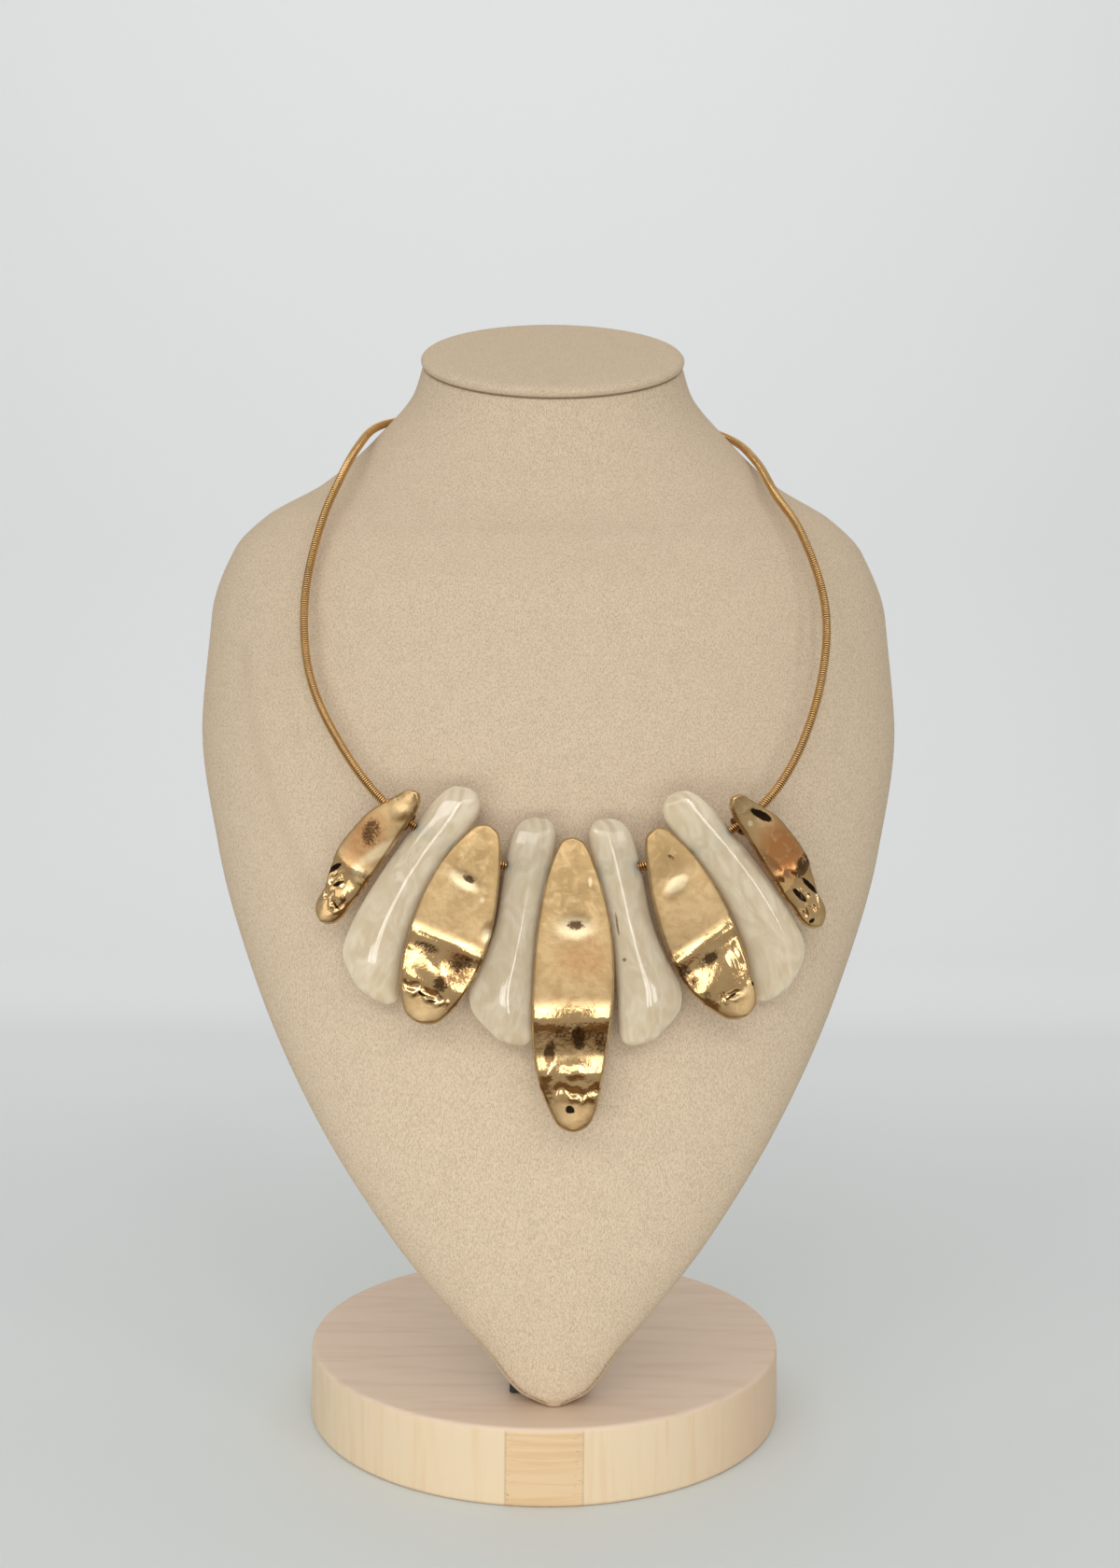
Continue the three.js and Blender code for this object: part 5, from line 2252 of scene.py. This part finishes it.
@dataclass(frozen=True)
class Studio:
    """Camera, pale sweep and soft light."""

    eye: Place = (3.1, -422.9, 173.7)
    roll: float = 0.45
    focal_px: float = 1600.0
    frame_px: tuple[int, int] = (1200, 1680)
    sensor: float = 36.0
    sweep_half_width: float = 3000.0
    sweep_front: float = -2200.0
    sweep_flat: float = 1100.0
    sweep_radius: float = 500.0
    sweep_top: float = 2600.0
    sweep_steps: int = 24
    wall_colour: Colour = (0.880, 0.890, 0.895)
    floor_colour: Colour = (0.765, 0.795, 0.785)
    wall_start: float = 60.0
    wall_full: float = 520.0
    floor_start: float = -60.0
    floor_slope: float = 0.9
    ambient: Colour = (0.40, 0.40, 0.395)
    aim: Place = (0.0, -50.0, 150.0)
    distance: float = 1500.0
    high_panes: tuple[Pane, ...] = (
        Pane(-45.0, 35.0, 24.0, 10.0, 3.1),
        Pane(-15.0, 35.0, 24.0, 10.0, 1.7),
        Pane(15.0, 35.0, 24.0, 10.0, 1.5),
        Pane(45.0, 35.0, 24.0, 10.0, 1.4),
    )
    tall_panes: tuple[Pane, ...] = (
        Pane(-30.0, 27.0, 3.5, 33.0, 2.3),
        Pane(-6.0, 27.0, 8.0, 33.0, 2.1),
        Pane(17.0, 27.0, 8.0, 33.0, 2.2),
        Pane(45.0, 27.0, 4.0, 33.0, 2.7),
    )
    plate_panes: tuple[Pane, ...] = (
        Pane(-15.0, 35.0, 24.0, 10.0, 1.6),
        Pane(15.0, 35.0, 24.0, 10.0, 1.8),
        Pane(45.0, 35.0, 24.0, 10.0, 1.8),
    )
    own_panes: tuple[tuple[str, Pane], ...] = (
        ("stone_outer_left", Pane(-34.0, 24.0, 7.0, 28.0, 4.5)),
        ("stone_outer_left", Pane(-25.0, 24.0, 7.0, 28.0, 4.5)),
        ("stone_outer_left", Pane(-43.0, 13.0, 6.0, 6.0, 4.0)),
        ("stone_inner_left", Pane(-18.0, 15.0, 11.0, 8.0, 4.0)),
        ("stone_inner_left", Pane(-4.0, 15.0, 8.0, 12.0, 4.5)),
        ("stone_inner_right", Pane(12.0, 20.0, 7.0, 20.0, 4.5)),
        ("stone_inner_right", Pane(22.0, 18.0, 7.0, 16.0, 4.5)),
        ("stone_inner_right", Pane(33.0, 14.0, 6.0, 7.0, 4.0)),
        ("stone_outer_right", Pane(41.0, 27.0, 7.0, 35.0, 4.5)),
        ("stone_outer_right", Pane(50.0, 27.0, 7.0, 35.0, 4.5)),
        ("gold_outer_left", Pane(-42.0, 14.0, 26.0, 16.0, 0.7)),
    )
    backdrop_place: Place = (-200.0, 600.0, 1200.0)
    backdrop_size: tuple[float, float] = (3200.0, 2000.0)
    backdrop_radiance: float = 0.19
    fill_place: Place = (-60.0, -420.0, 20.0)
    fill_aim: Place = (0.0, -40.0, 60.0)
    fill_size: tuple[float, float] = (500.0, 160.0)
    fill_radiance: float = 2.98
    top_place: Place = (-100.0, 650.0, 1900.0)
    top_size: tuple[float, float] = (2600.0, 1300.0)
    top_radiance: float = 0.55
    card_low: float = -600.0
    card_near: float = -110.0
    card_half_width: float = 420.0
    card_height: float = 110.0
    card_lift: tuple[float, float] = (2.0, 1.0)
    card_colour: Colour = (0.23, 0.15, 0.085)

    def build_camera(self) -> None:
        """Stand the camera where the picture was taken from, looking level along +Y."""
        lens = bpy.data.cameras.new("photo_camera")
        lens.sensor_width = self.sensor
        lens.lens = self.sensor * self.focal_px / max(self.frame_px)
        camera = added("photo_camera", lens)
        camera.location = Vector(self.eye) * MM
        camera.rotation_euler = (math.radians(90.0), math.radians(-self.roll), 0.0)
        bpy.context.scene.camera = camera

    def _sheet(self, name: str, profile: Array, half_width: float, colour: Colour) -> bpy.types.Object:
        """Carry a line in the YZ plane along X as a stage sheet.

        Args:
            name: Name of the sheet.
            profile: Points of the line as Y and Z, in mm.
            half_width: Half of its width.
            colour: Its colour.

        Returns:
            The sheet.
        """
        count = len(profile)
        sides = [np.column_stack([np.full(count, x), profile]) for x in (-half_width, half_width)]
        near = np.arange(count - 1)
        faces = np.stack([near, near + count, near + count + 1, near + 1], axis=-1)
        mesh = bpy.data.meshes.new(name)
        mesh.from_pydata((np.concatenate(sides) * MM).tolist(), [], faces.tolist())
        mesh.shade_smooth()
        finish = Finish(name)
        # Painted light: further back the floor is painted paler, towards the wall colour.
        far = self.floor_slope * (finish.axis("Y") - self.floor_start)
        shade = finish.step(finish.axis("Z").most(far), self.wall_start, self.wall_full)
        mesh.materials.append(
            finish.surface(
                {
                    "Base Color": finish.blend(shade, colour, self.wall_colour),
                    "Roughness": 0.9,
                    "Specular IOR Level": 0.0,
                }
            )
        )
        sheet = added(name, mesh)
        return sheet

    def build_sweep(self) -> bpy.types.Object:
        """Build the pale floor that curves up into a wall far behind.

        Returns:
            The floor.
        """
        turn = np.linspace(0.0, np.pi / 2, self.sweep_steps)
        bend = np.stack(
            [self.sweep_flat + self.sweep_radius * np.sin(turn), self.sweep_radius * (1.0 - np.cos(turn))],
            axis=-1,
        )
        start = [[self.sweep_front, 0.0]]
        end = [[self.sweep_flat + self.sweep_radius, self.sweep_top]]
        profile = np.concatenate([start, bend, end])
        return self._sheet("pale_sweep", profile, self.sweep_half_width, self.floor_colour)

    def build_card(self) -> None:
        """Build the dark card in front, which only mirror reflections see."""
        far, near = self.card_lift
        profile = np.array(
            [[self.card_low, self.card_height], [self.card_low, far], [self.card_near, near]]
        )
        card = self._sheet("dark_card", profile, self.card_half_width, self.card_colour)
        card.visible_camera = False
        card.visible_diffuse = False
        card.visible_shadow = False
        card.visible_transmission = False

    @staticmethod
    def _panel(
        name: str,
        place: Vector,
        toward: Vector,
        size: tuple[float, float],
        radiance: float,
    ) -> bpy.types.Object:
        """Hang one bright panel that the camera doesn't see.

        Args:
            name: Name of the light.
            place: Its middle, in mm.
            toward: Direction that it shines in.
            size: Its width and height, in mm.
            radiance: Its brightness.

        Returns:
            The light.
        """
        light = bpy.data.lights.new(name, "AREA")
        light.shape = "RECTANGLE"
        light.size = size[0] * MM
        light.size_y = size[1] * MM
        light.energy = PANEL_WATTS * light.size * light.size_y * radiance
        lamp = added(name, light)
        lamp.location = place * MM
        lamp.rotation_euler = toward.to_track_quat("-Z", "Y").to_euler()
        lamp.visible_camera = False
        return lamp

    def _pane(self, name: str, pane: Pane) -> bpy.types.Object:
        """Hang one pane on the sphere round the necklace.

        Args:
            name: Name of the light.
            pane: The pane.

        Returns:
            The light.
        """
        azimuth = math.radians(pane.azimuth)
        elevation = math.radians(pane.elevation)
        level = math.cos(elevation)
        toward = Vector((math.sin(azimuth) * level, -math.cos(azimuth) * level, math.sin(elevation)))
        size = [2.0 * self.distance * math.tan(math.radians(a / 2)) for a in (pane.width, pane.height)]
        place = Vector(self.aim) + toward * self.distance
        return self._panel(name, place, -toward, (size[0], size[1]), pane.radiance)

    @staticmethod
    def _limit(lamp: bpy.types.Object, pieces: Sequence[bpy.types.Object], reach: Reach) -> None:
        """Let a light fall on some pieces only, or on all but them.

        Args:
            lamp: The light.
            pieces: The pieces.
            reach: Whether the light falls on them or passes them by.
        """
        group = bpy.data.collections.new(f"{lamp.name}_pieces")
        for piece in pieces:
            group.objects.link(piece)
        lamp.light_linking.receiver_collection = group
        for member in group.collection_objects:
            member.light_linking.link_state = reach.value

    def build_lights(self, floor: bpy.types.Object, plates: Pieces, stones: Pieces) -> None:
        """Hang the panes, light the wall and the floor, and set the ambient light.

        Args:
            floor: The floor, which the low fill passes by.
            plates: The gilt plates by the CAD nodes that they stand for.
            stones: The stones by their nodes, which get their own tall panes.
        """
        pieces = {**plates, **stones}
        world = bpy.data.worlds.new("soft_room")
        world.use_nodes = True
        world.node_tree.nodes["Background"].inputs["Color"].default_value = (*self.ambient, 1.0)
        bpy.context.scene.world = world
        for number, pane in enumerate(self.high_panes):
            self._pane(f"high_pane_{number}", pane)
        for number, pane in enumerate(self.tall_panes):
            self._limit(self._pane(f"tall_pane_{number}", pane), list(stones.values()), Reach.PAST)
        for number, pane in enumerate(self.plate_panes):
            self._limit(self._pane(f"plate_pane_{number}", pane), list(plates.values()), Reach.ONLY)
        for number, (node, pane) in enumerate(self.own_panes):
            self._limit(self._pane(f"own_pane_{number}", pane), [pieces[node]], Reach.ONLY)
        back = Vector(self.backdrop_place)
        wall = Vector((0.0, 1.0, 0.0))
        self._panel("wall_light", back, wall, self.backdrop_size, self.backdrop_radiance)
        down = Vector((0.0, 0.0, -1.0))
        self._panel("top_light", Vector(self.top_place), down, self.top_size, self.top_radiance)
        low = Vector(self.fill_place)
        fill = self._panel("low_fill", low, Vector(self.fill_aim) - low, self.fill_size, self.fill_radiance)
        fill.visible_glossy = False
        self._limit(fill, [floor], Reach.PAST)

    def build(self, plates: Pieces, stones: Pieces) -> None:
        """Build the camera, the sweep, the card and the lights, with some pieces' own panes.

        Args:
            plates: The gilt plates by their nodes.
            stones: The stones by their nodes.
        """
        bpy.context.scene.view_settings.view_transform = "Standard"
        self.build_camera()
        floor = self.build_sweep()
        self.build_card()
        self.build_lights(floor, plates, stones)


def main() -> None:
    """Build the bust, its foot and the necklace, then the studio."""
    logging.basicConfig(level=logging.INFO, format="%(name)s: %(message)s")
    bust = NeckBust()
    foot = Foot()
    collar = Collar()
    suede = Suede().material()
    wound = WoundGilt().material()
    hammered = HammeredGilt().material()
    cream = CreamStone().material()
    bust.build_form(suede)
    bust.build_cap(suede)
    foot.build_disc(Wood().material())
    foot.build_bracket(bust, BlackPaint().material())
    collar.build_wire(wound)
    collar.build_clasp(wound)
    plates = {plate.node: plate.build(bust, collar, hammered) for plate in PLATES}
    stones = {stone.node: stone.build(bust, collar, cream) for stone in STONES}
    Studio().build(plates, stones)


if __name__ == "__main__":
    main()
